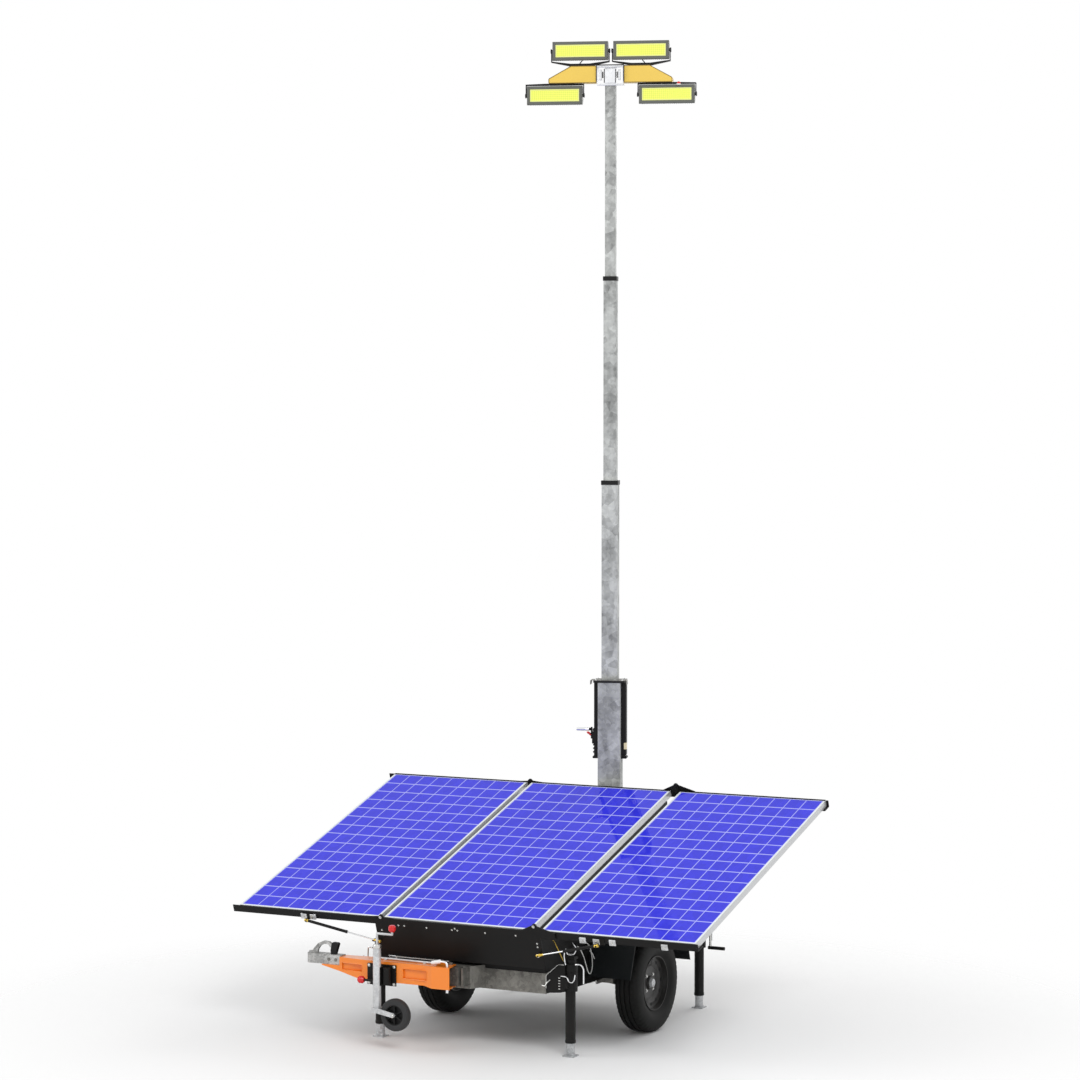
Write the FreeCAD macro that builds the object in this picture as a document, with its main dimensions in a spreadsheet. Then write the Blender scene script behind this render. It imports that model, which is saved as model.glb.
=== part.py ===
"""Solar mobile light tower on a two-wheel trailer, as a parametric document in millimetres.

The ground is Z = 0, the drawbar end is -Y and the mast stands at the +Y end. What lies
parallel to the solar array is drawn in the array's own frame: X across, S up the slope from
the array's near edge, N square to the glass. The drawbar and what it carries are drawn as
towed, pointing along -Y, and then folded beside the chassis by one turn about its hinge.
"""
import FreeCAD, Part
import os
import re
import Sketcher

doc = FreeCAD.newDocument("light_tower")

# Driving dimensions: alias, value in millimetres or degrees
SIZES = (
    # Array
    ("origin_shift", 1004.16), ("tilt_angle", 18.4), ("edge_height", 764.0),
    ("module_width", 992.0), ("module_length", 1956.0), ("module_depth", 40.0),
    ("frame_wall", 12.0), ("frame_flange", 30.0), ("glass_depth", 7.0), ("glass_inset", 1.0),
    ("gap_left", 35.0), ("gap_right", 69.0), ("rise_left", 5.0), ("rise_right", 33.0),
    ("inset_left", 17.5), ("inset_right", 34.5),
    # Wing rails, ears and pins
    ("rail_web", 6.0), ("rail_drop", 46.0), ("rail_lip", 3.0), ("rail_flange", 60.0),
    ("rail_overhang", 14.0), ("plate_gap", 0.5), ("ear_radius", 14.0), ("ear_run", 95.0),
    ("pin_radius", 6.0), ("pin_play", 0.4), ("pin_head", 10.0),
    # Clips and gas struts
    ("clip_width", 40.0), ("clip_thick", 4.0), ("clip_drop", 5.0), ("clip_rise", 22.0),
    ("strut_left_in", 499.0), ("strut_right_in", 370.0), ("stud_side", 44.0),
    ("stud_drop", 145.0), ("strut_stand", 36.0), ("stud_radius", 5.0), ("eye_radius", 11.0),
    ("eye_width", 12.0), ("barrel_radius", 9.0), ("barrel_share", 0.56),
    ("rod_radius", 4.0), ("rod_start", 130.0), ("barrel_wall", 4.6),
    # Cabinet
    ("cabinet_side", 4.0), ("cabinet_wall", 4.0), ("cabinet_back", 190.0),
    ("skirt_start", 400.0), ("skirt_low", 338.0), ("face_side", 63.0), ("face_drop", 247.0),
    ("face_plate", 6.0), ("battery_length", 700.0), ("battery_side", 50.0),
    ("battery_height", 230.0), ("battery_ahead", 516.0),
    # Chassis
    ("beam_low", 365.0), ("beam_height", 120.0), ("beam_side", 16.0), ("beam_wall", 5.0),
    ("front_beam", 150.0), ("front_deep", 120.0), ("beam_behind", 85.0), ("rear_deep", 170.0),
    ("rail_side", 60.0), ("side_rail_width", 50.0), ("stub_root", 110.0), ("stub_half", 60.0),
    ("stub_gap", 5.0),
    ("stub_low", 372.0), ("stub_high", 505.0), ("stub_wall", 8.0), ("tongue_start", 50.0),
    ("tongue_reach", 30.0), ("fork_play", 5.0),
    # Drawbar
    ("hinge_side", 40.0), ("bolt_radius", 8.0), ("bolt_play", 0.5), ("bolt_head", 14.0),
    ("bar_half", 60.0), ("bar_flare", 75.0), ("bar_low", 386.0), ("bar_step", 10.0),
    ("bar_high", 516.0), ("bar_plate", 6.0), ("bar_back", 25.0), ("lock_back", 42.0),
    ("flare_back", 54.0), ("bar_length", 720.0), ("bar_nose", 845.0), ("taper_start", 560.0),
    ("nose_low", 458.0), ("nose_high", 464.0), ("nose_half", 40.0), ("web_start", 50.0),
    ("flare_full", 65.0), ("flare_start", 124.0), ("lock_ahead", 22.0),
    ("pocket_low", 428.0), ("pocket_high", 484.0), ("pocket_wall", 3.0),
    ("pocket_depth", 12.0), ("rear_pocket", 103.0), ("rear_pocket_end", 267.0),
    ("front_pocket", 552.0), ("front_pocket_end", 700.0), ("front_pocket_low", 444.0),
    # Ball coupling
    ("ball_radius", 25.5), ("ball_centre", 925.0), ("ball_height", 484.0),
    ("housing_radius", 38.0), ("neck_half", 32.0), ("housing_high", 522.0),
    ("dome_rise", 10.0), ("loop_width", 16.0), ("lever_width", 24.0),
    # Jockey wheel
    ("jockey_side", 120.0), ("jockey_ahead", 410.0), ("jockey_tube", 24.0),
    ("jockey_bore", 20.7), ("jockey_stem", 20.3), ("jockey_low", 254.0),
    ("jockey_high", 623.0), ("stem_high", 540.0), ("castor_gap", 0.4), ("castor_pin", 12.0),
    ("jockey_wheel", 97.0), ("jockey_width", 48.0), ("jockey_axle", 219.0),
    ("jockey_trail", 128.0), ("fork_plate", 6.0), ("fork_gap", 5.0), ("axle_pin", 8.0),
    ("clamp_radius", 28.0), ("clamp_play", 0.3), ("clamp_low", 384.0), ("clamp_high", 493.0),
    ("clamp_plate", 8.0), ("clamp_half", 98.0), ("clamp_post", 25.0), ("post_away", 49.0),
    ("post_side", 92.0), ("crank_throw", 104.0), ("crank_top", 692.0),
    ("crank_rod", 7.0), ("knob_radius", 22.0), ("knob_length", 40.0),
    # Stabiliser legs
    ("leg_side", 132.0), ("leg_front", 209.0), ("leg_behind", 30.0), ("sleeve_radius", 30.0),
    ("sleeve_bore", 26.0), ("sleeve_low", 80.0), ("sleeve_high", 556.0), ("leg_cap", 18.0),
    ("foot_radius", 25.7), ("foot_bore", 22.0), ("foot_high", 320.0), ("foot_plate", 72.0),
    ("foot_thick", 8.0), ("ring_radius", 42.0), ("ring_play", 0.4), ("ring_low", 385.0),
    ("ring_high", 500.0), ("bracket_half", 45.0), ("leg_crank", 78.0), ("leg_grip", 98.0),
    ("leg_crank_low", 388.0),
    # Wheels, axle and mudguards
    ("wheel_radius", 298.0), ("wheel_width", 162.0), ("wheel_side", 194.0),
    ("axle_before", 874.0),
    ("bead_radius", 165.0), ("flange_radius", 178.0), ("hub_radius", 48.0),
    ("spindle", 17.0), ("spindle_play", 0.3), ("axle_side", 60.0), ("axle_ahead", 136.0),
    ("axle_end", 20.0), ("arm_thick", 30.0), ("guard_outer", 292.0), ("guard_wall", 4.0),
    ("guard_reach", 415.0), ("guard_low", 382.0), ("guard_high", 662.0),
    # Mast
    ("mast_behind", 134.0), ("mast_yaw", 20.0), ("mast_half", 73.0), ("mast_wall", 5.0),
    ("mast_corner", 9.0), ("mast_top", 2039.0), ("disc_radius", 84.0), ("disc_thick", 12.0),
    ("spigot", 58.0), ("spigot_high", 80.0), ("first_half", 51.5), ("first_reach", 1288.0),
    ("second_half", 41.5), ("second_reach", 1300.0), ("third_half", 33.5),
    ("third_reach", 1219.0), ("tube_wall", 4.0), ("tube_lap", 236.0), ("slide_play", 0.5),
    ("guide_height", 40.0), ("guard_box", 28.0), ("guard_box_deep", 64.0),
    ("guard_box_height", 483.0), ("collar_thick", 12.0), ("winch_rise", 126.0),
    ("winch_reach", 215.0), ("winch_wide", 14.0), ("winch_deep", 52.0), ("winch_high", 76.0),
    ("winch_lever", 10.0), ("winch_throw", 52.0),
    # Lamp head
    ("head_half", 85.0), ("head_deep", 84.0), ("head_plate", 6.0), ("arm_gap", 12.0),
    ("arm_height", 108.0), ("arm_tip_height", 28.0), ("shoulder_reach", 167.0),
    ("tip_reach", 311.0), ("arm_deep", 64.0), ("lamp_width", 355.0), ("lamp_half", 59.0),
    ("lamp_front", 20.0), ("lamp_back", 36.0), ("lamp_back_half", 34.0), ("lamp_rim", 20.0),
    ("lamp_recess", 6.0), ("upper_gap", 17.5), ("lower_in", 37.0), ("upper_rise", 97.0),
    ("lower_drop", 75.0), ("yoke_plate", 4.0), ("yoke_gap", 5.0), ("yoke_deep", 36.0),
    ("yoke_shoulder", 71.0), ("yoke_base", 60.0), ("pivot", 9.0),
    # Rear lamps
    ("rear_lamp_width", 130.0), ("rear_lamp_deep", 34.0), ("rear_lamp_height", 90.0),
    ("rear_lamp_inset", 20.0), ("rear_lamp_rise", 15.0),
)

# Dimensions that follow from the ones above, by name
LINKED = {
    "strut_left_x": "module_width/2+gap_left+strut_left_in",
    "strut_right_x": "module_width/2+gap_right+strut_right_in",
    "stud_x": "module_width/2+stud_side",
    "cabinet_half": "module_width/2+cabinet_side",
    "face_half": "module_width/2+face_side",
    "beam_half": "cabinet_half+beam_side",
    "side_rail": "cabinet_half-rail_side",
    "leg_x": "beam_half+leg_side",
    "wheel_x": "cabinet_half+wheel_side",
    "axle_half": "cabinet_half+axle_end",
    "mast_y": "module_length*cos(tilt_angle)+mast_behind",
    "cabinet_rear": "mast_y-cabinet_back",
    "rear_beam": "mast_y-beam_behind",
    "leg_rear": "mast_y-leg_behind",
    "axle_y": "mast_y-axle_before",
    "battery_start": "axle_y-battery_ahead",
    "first_top": "mast_top+first_reach",
    "second_top": "first_top+second_reach",
    "third_top": "second_top+third_reach",
    "guard_box_low": "mast_top-guard_box_height",
    "winch_z": "guard_box_low+winch_rise",
    "arm_low": "third_top+arm_gap",
    "arm_high": "arm_low+arm_height",
    "arm_tip_high": "arm_low+arm_tip_height",
    "arm_shoulder": "head_half+shoulder_reach",
    "arm_tip": "head_half+tip_reach",
    "upper_x": "lamp_width/2+upper_gap",
    "lower_x": "arm_tip-lower_in",
    "upper_z": "arm_high+upper_rise",
    "lower_z": "arm_low-lower_drop",
}

sheet = doc.addObject("Spreadsheet::Sheet", "Sizes")
for row, (alias, value) in enumerate(SIZES, start=1):
    sheet.set(f"A{row}", alias)
    sheet.set(f"B{row}", str(value))
    sheet.setAlias(f"B{row}", alias)
doc.recompute()
ALIASES = {alias for alias, value in SIZES}
EDGE_PLAY = 0.01
X_AXIS = FreeCAD.Vector(1, 0, 0)
Z_AXIS = FreeCAD.Vector(0, 0, 1)
subparts = []


def spelled(found):
    """One word of a formula: a cell of the sheet, a linked dimension or a function."""
    word = found[0]
    if word in LINKED:
        return f"({formula(LINKED[word])})"
    return f"Sizes.{word}" if word in ALIASES else word


def formula(text):
    """An expression on the sheet, from aliases, numbers, operators and functions."""
    return re.sub(r"[a-z_]+", spelled, str(text))


def amount(text):
    """The present value of a formula."""
    found = sheet.evalExpression(formula(text))
    return float(getattr(found, "Value", found))


def bind(thing, path, text):
    """Drive one property of an object by a formula."""
    thing.setExpression(path, formula(text))


def place(thing, x, y, z):
    """Put an object at a point given by three formulas."""
    for axis, text in zip("xyz", (x, y, z)):
        bind(thing, f"Placement.Base.{axis}", text)
    return thing


def box(name, lengths, corner):
    """A box from its three lengths and its low corner."""
    thing = doc.addObject("Part::Box", name)
    for path, text in zip(("Length", "Width", "Height"), lengths):
        bind(thing, path, text)
    return place(thing, *corner)


AXIS_TURNS = {
    "x": FreeCAD.Rotation(FreeCAD.Vector(0, 1, 0), 90),
    "y": FreeCAD.Rotation(X_AXIS, -90),
    "z": FreeCAD.Rotation(),
}


def rod(name, radius, length, start, axis="z"):
    """A cylinder from its start point along +X, +Y or +Z."""
    thing = doc.addObject("Part::Cylinder", name)
    bind(thing, "Radius", radius)
    bind(thing, "Height", length)
    thing.Placement = FreeCAD.Placement(FreeCAD.Vector(), AXIS_TURNS[axis])
    return place(thing, *start)


def ball(name, radius, centre, seam=0):
    """A sphere about a point, its seam turned from +X by an angle."""
    thing = doc.addObject("Part::Sphere", name)
    bind(thing, "Radius", radius)
    thing.Placement = FreeCAD.Placement(FreeCAD.Vector(), FreeCAD.Rotation(Z_AXIS, seam))
    return place(thing, *centre)


def fused(name, pieces):
    """One solid from pieces that touch or overlap."""
    thing = doc.addObject("Part::MultiFuse", name)
    thing.Shapes = pieces
    thing.Refine = True
    return thing


def common(name, pieces):
    """What all the pieces share."""
    thing = doc.addObject("Part::MultiCommon", name)
    thing.Shapes = pieces
    return thing


def cut(name, base, *tools):
    """A solid less one or more others."""
    thing = doc.addObject("Part::Cut", name)
    thing.Base = base
    thing.Tool = tools[0] if len(tools) == 1 else fused(f"{name}_tools", list(tools))
    return thing


def grouped(name, pieces):
    """Like pieces that one body carries, as separate solids of one object."""
    thing = doc.addObject("Part::Compound", name)
    thing.Links = pieces
    return thing


def outline(sketch, points):
    """A closed outline of straight lines whose corners follow formulas."""
    first = sketch.GeometryCount
    corners = [FreeCAD.Vector(amount(a), amount(b), 0) for a, b in points]
    for index, corner in enumerate(corners):
        following = corners[(index + 1) % len(corners)]
        sketch.addGeometry(Part.LineSegment(corner, following), False)
    for index, pair in enumerate(points):
        line = first + index
        after = first + (index + 1) % len(points)
        sketch.addConstraint(Sketcher.Constraint("Coincident", line, 2, after, 1))
        for kind, text in zip(("DistanceX", "DistanceY"), pair):
            rule = Sketcher.Constraint(kind, -1, 1, line, 1, amount(text))
            number = sketch.addConstraint(rule)
            sketch.setExpression(f"Constraints[{number}]", formula(text))


def circle(sketch, x, y, radius):
    """A circle whose centre and radius follow formulas."""
    centre = FreeCAD.Vector(amount(x), amount(y), 0)
    ring = sketch.addGeometry(Part.Circle(centre, Z_AXIS, amount(radius)), False)
    rules = (
        (Sketcher.Constraint("DistanceX", -1, 1, ring, 3, amount(x)), x),
        (Sketcher.Constraint("DistanceY", -1, 1, ring, 3, amount(y)), y),
        (Sketcher.Constraint("Radius", ring, amount(radius)), radius),
    )
    for rule, text in rules:
        number = sketch.addConstraint(rule)
        sketch.setExpression(f"Constraints[{number}]", formula(text))


PLANE_ROLES = {"XY": "XY_Plane", "XZ": "XZ_Plane", "YZ": "YZ_Plane"}


def sketch_on(body, name, plane, offset="0"):
    """A sketch on one of its own body's planes; XZ offsets and pads run along -Y."""
    sketch = body.newObject("Sketcher::SketchObject", name)
    features = body.Origin.OriginFeatures
    support = [feature for feature in features if feature.Role == PLANE_ROLES[plane]][0]
    sketch.AttachmentSupport = [(support, "")]
    sketch.MapMode = "FlatFace"
    bind(sketch, "AttachmentOffset.Base.z", offset)
    return sketch


def padded(name, plane, length, outlines=(), circles=(), middle=False, offset="0"):
    """A body padded from closed outlines and circles, the inner ones cutting holes."""
    body = doc.addObject("PartDesign::Body", name)
    sketch = sketch_on(body, f"{name}_sketch", plane, offset)
    for points in outlines:
        outline(sketch, points)
    for x, y, radius in circles:
        circle(sketch, x, y, radius)
    feature = body.newObject("PartDesign::Pad", f"{name}_pad")
    feature.Profile = sketch
    bind(feature, "Length", length)
    feature.Midplane = middle
    return body


def spun(name, points):
    """A body turned about its own Z axis, from radius and height pairs."""
    body = doc.addObject("PartDesign::Body", name)
    sketch = sketch_on(body, f"{name}_sketch", "XZ")
    outline(sketch, points)
    feature = body.newObject("PartDesign::Revolution", f"{name}_turn")
    feature.Profile = sketch
    feature.ReferenceAxis = (sketch, ["V_Axis"])
    feature.Angle = 360
    return body


def upright_corners(name, body, radius):
    """Round the four outer upright edges of a square tube."""
    doc.recompute()
    tube = body.Tip
    shape = tube.Shape
    reach = shape.BoundBox.XMax - EDGE_PLAY
    picked = [
        f"Edge{number}" for number, edge in enumerate(shape.Edges, start=1)
        if abs(edge.tangentAt(edge.FirstParameter).z) > 0.99
        and abs(edge.CenterOfMass.x) > reach and abs(edge.CenterOfMass.y) > reach
    ]
    feature = body.newObject("PartDesign::Fillet", name)
    feature.Base = (tube, picked)
    bind(feature, "Radius", radius)
    return body


def rectangle(low_a, low_b, high_a, high_b):
    """Corners of an upright rectangle in a sketch."""
    return ((low_a, low_b), (high_a, low_b), (high_a, high_b), (low_a, high_b))


def square(half):
    """Corners of a square about the sketch's origin."""
    return rectangle(f"-({half})", f"-({half})", half, half)


def set_back(thing):
    """Carry an object from the array edge's Y to the part's own origin."""
    bind(thing, "Placement.Base.y", "-origin_shift")
    return thing


def lay_on_array(thing):
    """Carry an object from the array's own frame to the part's frame."""
    thing.Placement = FreeCAD.Placement(FreeCAD.Vector(), FreeCAD.Rotation(X_AXIS, 1))
    bind(thing, "Placement.Rotation.Angle", "tilt_angle")
    place(thing, "0", "-origin_shift", "edge_height")
    return thing


def fold_bar(thing):
    """Fold an object drawn on the towed drawbar about the hinge bolt, to the -X side."""
    thing.Placement = FreeCAD.Placement(FreeCAD.Vector(), FreeCAD.Rotation(Z_AXIS, -90))
    return place(thing, "-hinge_side", "-hinge_side-origin_shift", "0")


def turn_mast(thing):
    """Stand an object drawn about the mast's own axis on its foot, at the mast's yaw."""
    thing.Placement = FreeCAD.Placement(FreeCAD.Vector(), FreeCAD.Rotation(Z_AXIS, 1))
    bind(thing, "Placement.Rotation.Angle", "mast_yaw")
    return place(thing, "0", "mast_y-origin_shift", "0")


def done(thing, label):
    """Register a finished sub-part under the name of its node."""
    thing.Label = label
    subparts.append(thing)


# Solar modules: name, X of the low side
MODULES = (
    ("left", "-(module_width*1.5+gap_left)"),
    ("centre", "-module_width/2"),
    ("right", "module_width/2+gap_right"),
)


def inner_box(name, low_x, margin, low, height):
    """A box inside a module's outline by a margin, in the array's frame."""
    return box(name, (f"module_width-2*{margin}", f"module_length-2*{margin}", height),
               (f"{low_x}+{margin}", margin, low))


for name, low_x in MODULES:
    slab = inner_box(f"{name}_slab", low_x, "0", "-module_depth", "module_depth")
    rebate = inner_box(f"{name}_rebate", low_x, "frame_wall", "-(glass_depth+glass_inset)",
                       "module_depth")
    opening = inner_box(f"{name}_opening", low_x, "frame_flange", "-module_depth*1.5",
                        "module_depth*2")
    frame = cut(f"{name}_frame", slab, rebate, opening)
    done(lay_on_array(frame), f"{name}_module_frame")
    pane = inner_box(f"{name}_pane", low_x, "frame_wall", "-(glass_depth+glass_inset)",
                     "glass_depth")
    done(lay_on_array(grouped(f"{name}_glass", [pane])), f"{name}_module_glass")

# Wings: name, sign of X, gap, pivot inset, pivot rise, outer overhang of the rails, whether
# the ears lie outside the hinge plates, clear of the other wing's rails when both are folded
WINGS = (
    ("left", -1, "gap_left", "inset_left", "rise_left", "(rail_overhang+gap_right-gap_left)",
     0),
    ("right", 1, "gap_right", "inset_right", "rise_right", "rail_overhang", 1),
)
# Rail ends: name, S of the web's low face, S of the flange's low face, way out
RAIL_ENDS = (
    ("near", "-rail_web", "-rail_web", -1),
    ("far", "module_length", "(module_length-rail_flange)", 1),
)
EAR_STEP = "(rail_web+plate_gap*2+face_plate)"
# Clips on the near rails: wing, distance from the middle
CLIPS = (("left", "strut_left_x+32"), ("left", "strut_left_x-32"), ("right", "strut_right_x-100"),
         ("right", "strut_right_x-12"), ("right", "strut_right_x+92"),
         ("right", "strut_right_x+425"))
STRUT_X = {"left": "strut_left_x", "right": "strut_right_x"}
STRUT_N = "-(rail_drop+2)"


def ear_outline(sign, pivot, rise, edge):
    """A blade from the rail's end up round the wing's pivot."""
    return (
        (f"{sign}*({edge}+ear_run)", "-rail_lip"),
        (f"{sign}*({edge}+ear_run)", "-rail_drop"),
        (f"{sign}*({edge})", "-rail_drop"),
        (f"{sign}*({pivot}-ear_radius*0.7)", f"{rise}-ear_radius"),
        (f"{sign}*({pivot}-ear_radius)", rise),
        (f"{sign}*({pivot}-ear_radius/2)", f"{rise}+ear_radius*0.87"),
        (f"{sign}*({pivot}+ear_radius/2)", f"{rise}+ear_radius*0.87"),
        (f"{sign}*({pivot}+ear_radius*1.3)", rise),
    )


for wing, sign, gap, inset, rise, overhang, outside in WINGS:
    edge = f"module_width/2+{gap}"
    pivot = f"{edge}-{inset}"
    run = f"module_width+{overhang}"
    low_x = edge if sign > 0 else f"-({edge}+{run})"
    rails = []
    for end, web_low, flange_low, outward in RAIL_ENDS:
        label = f"{wing}_{end}"
        web = box(f"{label}_web", (run, "rail_web", "rail_drop-rail_lip"),
                  (low_x, web_low, "-rail_drop"))
        flange = box(f"{label}_flange", (run, "rail_flange+rail_web", "rail_drop-module_depth"),
                     (low_x, flange_low, "-rail_drop"))
        bore = (f"{sign}*({pivot})", rise, "pin_radius+pin_play")
        ear_low = f"{web_low}+{outward * outside}*{EAR_STEP}"
        ear = padded(f"{label}_ear", "XZ", "rail_web", (ear_outline(sign, pivot, rise, edge),),
                     (bore,), offset=f"-({ear_low}+rail_web)")
        pieces = [web, flange, ear]
        if outside:
            packing_low = f"{web_low}-{EAR_STEP}" if outward < 0 else web_low
            pieces.append(box(f"{label}_packing",
                              ("ear_run-ear_radius", f"{EAR_STEP}+rail_web",
                               "rail_drop-rail_lip"),
                              (f"{edge}+ear_radius", packing_low, "-rail_drop")))
        if end == "near":
            for number, (owner, middle) in enumerate(CLIPS):
                if owner == wing:
                    pieces.append(box(
                        f"{label}_clip_{number}",
                        ("clip_width", "clip_thick", "clip_rise+clip_drop"),
                        (f"{sign}*({middle})-clip_width/2", "-(rail_web+clip_thick)",
                         "-(rail_drop+clip_drop)")))
            stud_x = f"{sign}*{STRUT_X[wing]}"
            pieces.append(box(f"{label}_tab", ("clip_width*2", "clip_thick", "clip_width"),
                              (f"{stud_x}-clip_width", "-(rail_web+clip_thick)",
                               f"{STRUT_N}-stud_radius-1")))
            pieces.append(rod(f"{label}_stud", "stud_radius",
                              "strut_stand+eye_width-rail_web-clip_thick/2",
                              (stud_x, "-(strut_stand+eye_width)", STRUT_N), "y"))
        rails.append(fused(f"{label}_rail", pieces))
    done(lay_on_array(grouped(f"{wing}_rail_pair", rails)), f"{wing}_wing_rails")

# Hinge plates: name, S of the plate's low face, S of its pins' low end, S of the pin heads,
# S of the lip that meets the centre module, depth below the glass, way out
PLATES = (
    ("cabinet_front_plate", "-(rail_web+plate_gap+face_plate)",
     "-(rail_web+plate_gap+face_plate)", "-(rail_web+plate_gap+face_plate+pin_head/2)",
     "-(rail_web+plate_gap)", "face_drop", -1),
    ("rear_hinge_plate", "(module_length+rail_web+plate_gap)", "module_length",
     "(module_length+rail_web+plate_gap+face_plate)", "module_length", "rail_drop", 1),
)
# Pivots: name, X, rise above the glass, whether the pin holds an ear outside the plate
PIVOTS = {
    "left": ("-(module_width/2+gap_left-inset_left)", "rise_left", 0),
    "right": ("module_width/2+gap_right-inset_right", "rise_right", 1),
}
PIN_STEP = "(rail_web+plate_gap)"


def tent(pivot, rise, sign):
    """Top of a fixed ear, from its outer side to its inner side, for a pivot's sign of X."""
    return (
        (f"{pivot}+{sign}*ear_radius", f"{rise}-ear_radius/2"),
        (f"{pivot}+{sign}*ear_radius", rise),
        (f"{pivot}+{sign}*ear_radius/2", f"{rise}+ear_radius*0.87"),
        (f"{pivot}-{sign}*ear_radius/2", f"{rise}+ear_radius*0.87"),
        (f"{pivot}-{sign}*ear_radius*1.3", rise),
        (f"{pivot}-{sign}*ear_run", "-rail_lip"),
    )


for label, low, pin_low, head_low, lip_low, drop, outward in PLATES:
    right_tent = tent(*PIVOTS["right"][:2], 1)
    left_tent = tent(*PIVOTS["left"][:2], -1)[::-1]
    bottom = (("-face_half", f"-{drop}"), ("face_half", f"-{drop}"))
    shoulders = (("face_half", "-rail_lip*4"),), (("-face_half", "-rail_lip*4"),)
    profile = bottom + shoulders[0] + right_tent + left_tent + shoulders[1]
    blank = padded(f"{label}_blank", "XZ", "face_plate", (profile,),
                   offset=f"-({low}+face_plate)")
    lip = box(f"{label}_lip",
              ("cabinet_half*1.6", "rail_web+plate_gap", "module_depth-frame_wall"),
              ("-cabinet_half*0.8", lip_low, "-module_depth"))
    pieces = [blank, lip]
    for name, (x, rise, outside) in PIVOTS.items():
        step = f"{outward * outside}*{PIN_STEP}"
        pieces.append(rod(f"{label}_pin_{name}", "pin_radius", "face_plate+plate_gap+rail_web",
                          (x, f"{pin_low}+{step}", rise), "y"))
        pieces.append(rod(f"{label}_head_{name}", "pin_head", "pin_head/2",
                          (x, f"{head_low}+{step}", rise), "y"))
        if drop == "face_drop":
            sign = -1 if name == "left" else 1
            pieces.append(rod(f"{label}_stud_{name}", "stud_radius", "strut_stand+eye_width",
                              (f"{sign}*stud_x", "-(strut_stand+eye_width)", "-stud_drop"),
                              "y"))
    done(lay_on_array(fused(f"{label}_solid", pieces)), label)


def strut_pieces(wing, sign):
    """A gas strut drawn along X from its barrel's eye at the wing, then leaned to its stud."""
    across = f"({STRUT_X[wing]}-stud_x)"
    down = f"(stud_drop+({STRUT_N}))"
    length = f"sqrt({across}*{across}+{down}*{down})"
    barrel = f"barrel_share*{length}"
    eye = rod(f"{wing}_barrel_eye", "eye_radius", "eye_width",
              ("0", "-(strut_stand+eye_width/2)", "0"), "y")
    tube = rod(f"{wing}_barrel_tube", "barrel_radius", f"{barrel}", ("0", "-strut_stand", "0"),
               "x")
    eye_bore = rod(f"{wing}_barrel_bore", "stud_radius+pin_play", "eye_width*3",
                   ("0", "-(strut_stand+eye_width*1.5)", "0"), "y")
    rod_bore = rod(f"{wing}_rod_bore", "barrel_wall", f"{barrel}",
                   ("rod_start-4", "-strut_stand", "0"), "x")
    body = cut(f"{wing}_barrel", fused(f"{wing}_barrel_solid", [eye, tube]), eye_bore, rod_bore)
    shaft = rod(f"{wing}_rod_shaft", "rod_radius", f"{length}-rod_start",
                ("rod_start", "-strut_stand", "0"), "x")
    rod_eye = rod(f"{wing}_rod_eye", "eye_radius", "eye_width",
                  (length, "-(strut_stand+eye_width/2)", "0"), "y")
    far_bore = rod(f"{wing}_far_bore", "stud_radius+pin_play", "eye_width*3",
                   (length, "-(strut_stand+eye_width*1.5)", "0"), "y")
    plunger = cut(f"{wing}_plunger", fused(f"{wing}_rod_solid", [shaft, rod_eye]), far_bore)
    lean = f"atan({down}/{across})"
    turn = lean if sign < 0 else f"180 deg-{lean}"
    for thing, kind in ((body, "barrel"), (plunger, "rod")):
        leaned = doc.addObject("Part::Compound", f"{wing}_{kind}_leaned")
        leaned.Links = [thing]
        thing.Placement = FreeCAD.Placement(
            FreeCAD.Vector(), FreeCAD.Rotation(FreeCAD.Vector(0, 1, 0), 1))
        bind(thing, "Placement.Rotation.Angle", turn)
        place(thing, f"{sign}*{STRUT_X[wing]}", "0", STRUT_N)
        done(lay_on_array(leaned), f"{wing}_strut_{kind}")


strut_pieces("left", -1)
strut_pieces("right", 1)

# Cabinet: a wedge of sheet under the centre module, with skirts beside the chassis
CABINET_FLOOR = "(beam_low+beam_height)"


def slope_y(s, n):
    """Y of a point of the array's frame."""
    return f"(({s})*cos(tilt_angle)-({n})*sin(tilt_angle))"


def slope_z(s, n):
    """Z of a point of the array's frame."""
    return f"(edge_height+({s})*sin(tilt_angle)+({n})*cos(tilt_angle))"


def under_array(y, n):
    """Height over a Y of the plane that lies at N in the array's frame."""
    return f"(edge_height+({y})*tan(tilt_angle)+({n})/cos(tilt_angle))"


def wedge(wall):
    """The cabinet's side profile, drawn in by a wall."""
    face = f"-(rail_web+plate_gap)+{wall}"
    foot_n = "-(face_drop-cabinet_wall)"
    return (
        (f"front_beam+cabinet_wall+{wall}", f"stub_high+stub_gap+{wall}"),
        (f"front_beam+cabinet_wall+{wall}", f"{CABINET_FLOOR}+{wall}"),
        (f"cabinet_rear-{wall}", f"{CABINET_FLOOR}+{wall}"),
        (f"cabinet_rear-{wall}", under_array(f"(cabinet_rear-{wall})", f"-module_depth+{wall}")),
        (slope_y(face, f"-module_depth+{wall}"), slope_z(face, f"-module_depth+{wall}")),
        (slope_y(face, foot_n), slope_z(face, foot_n)),
    )


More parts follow.
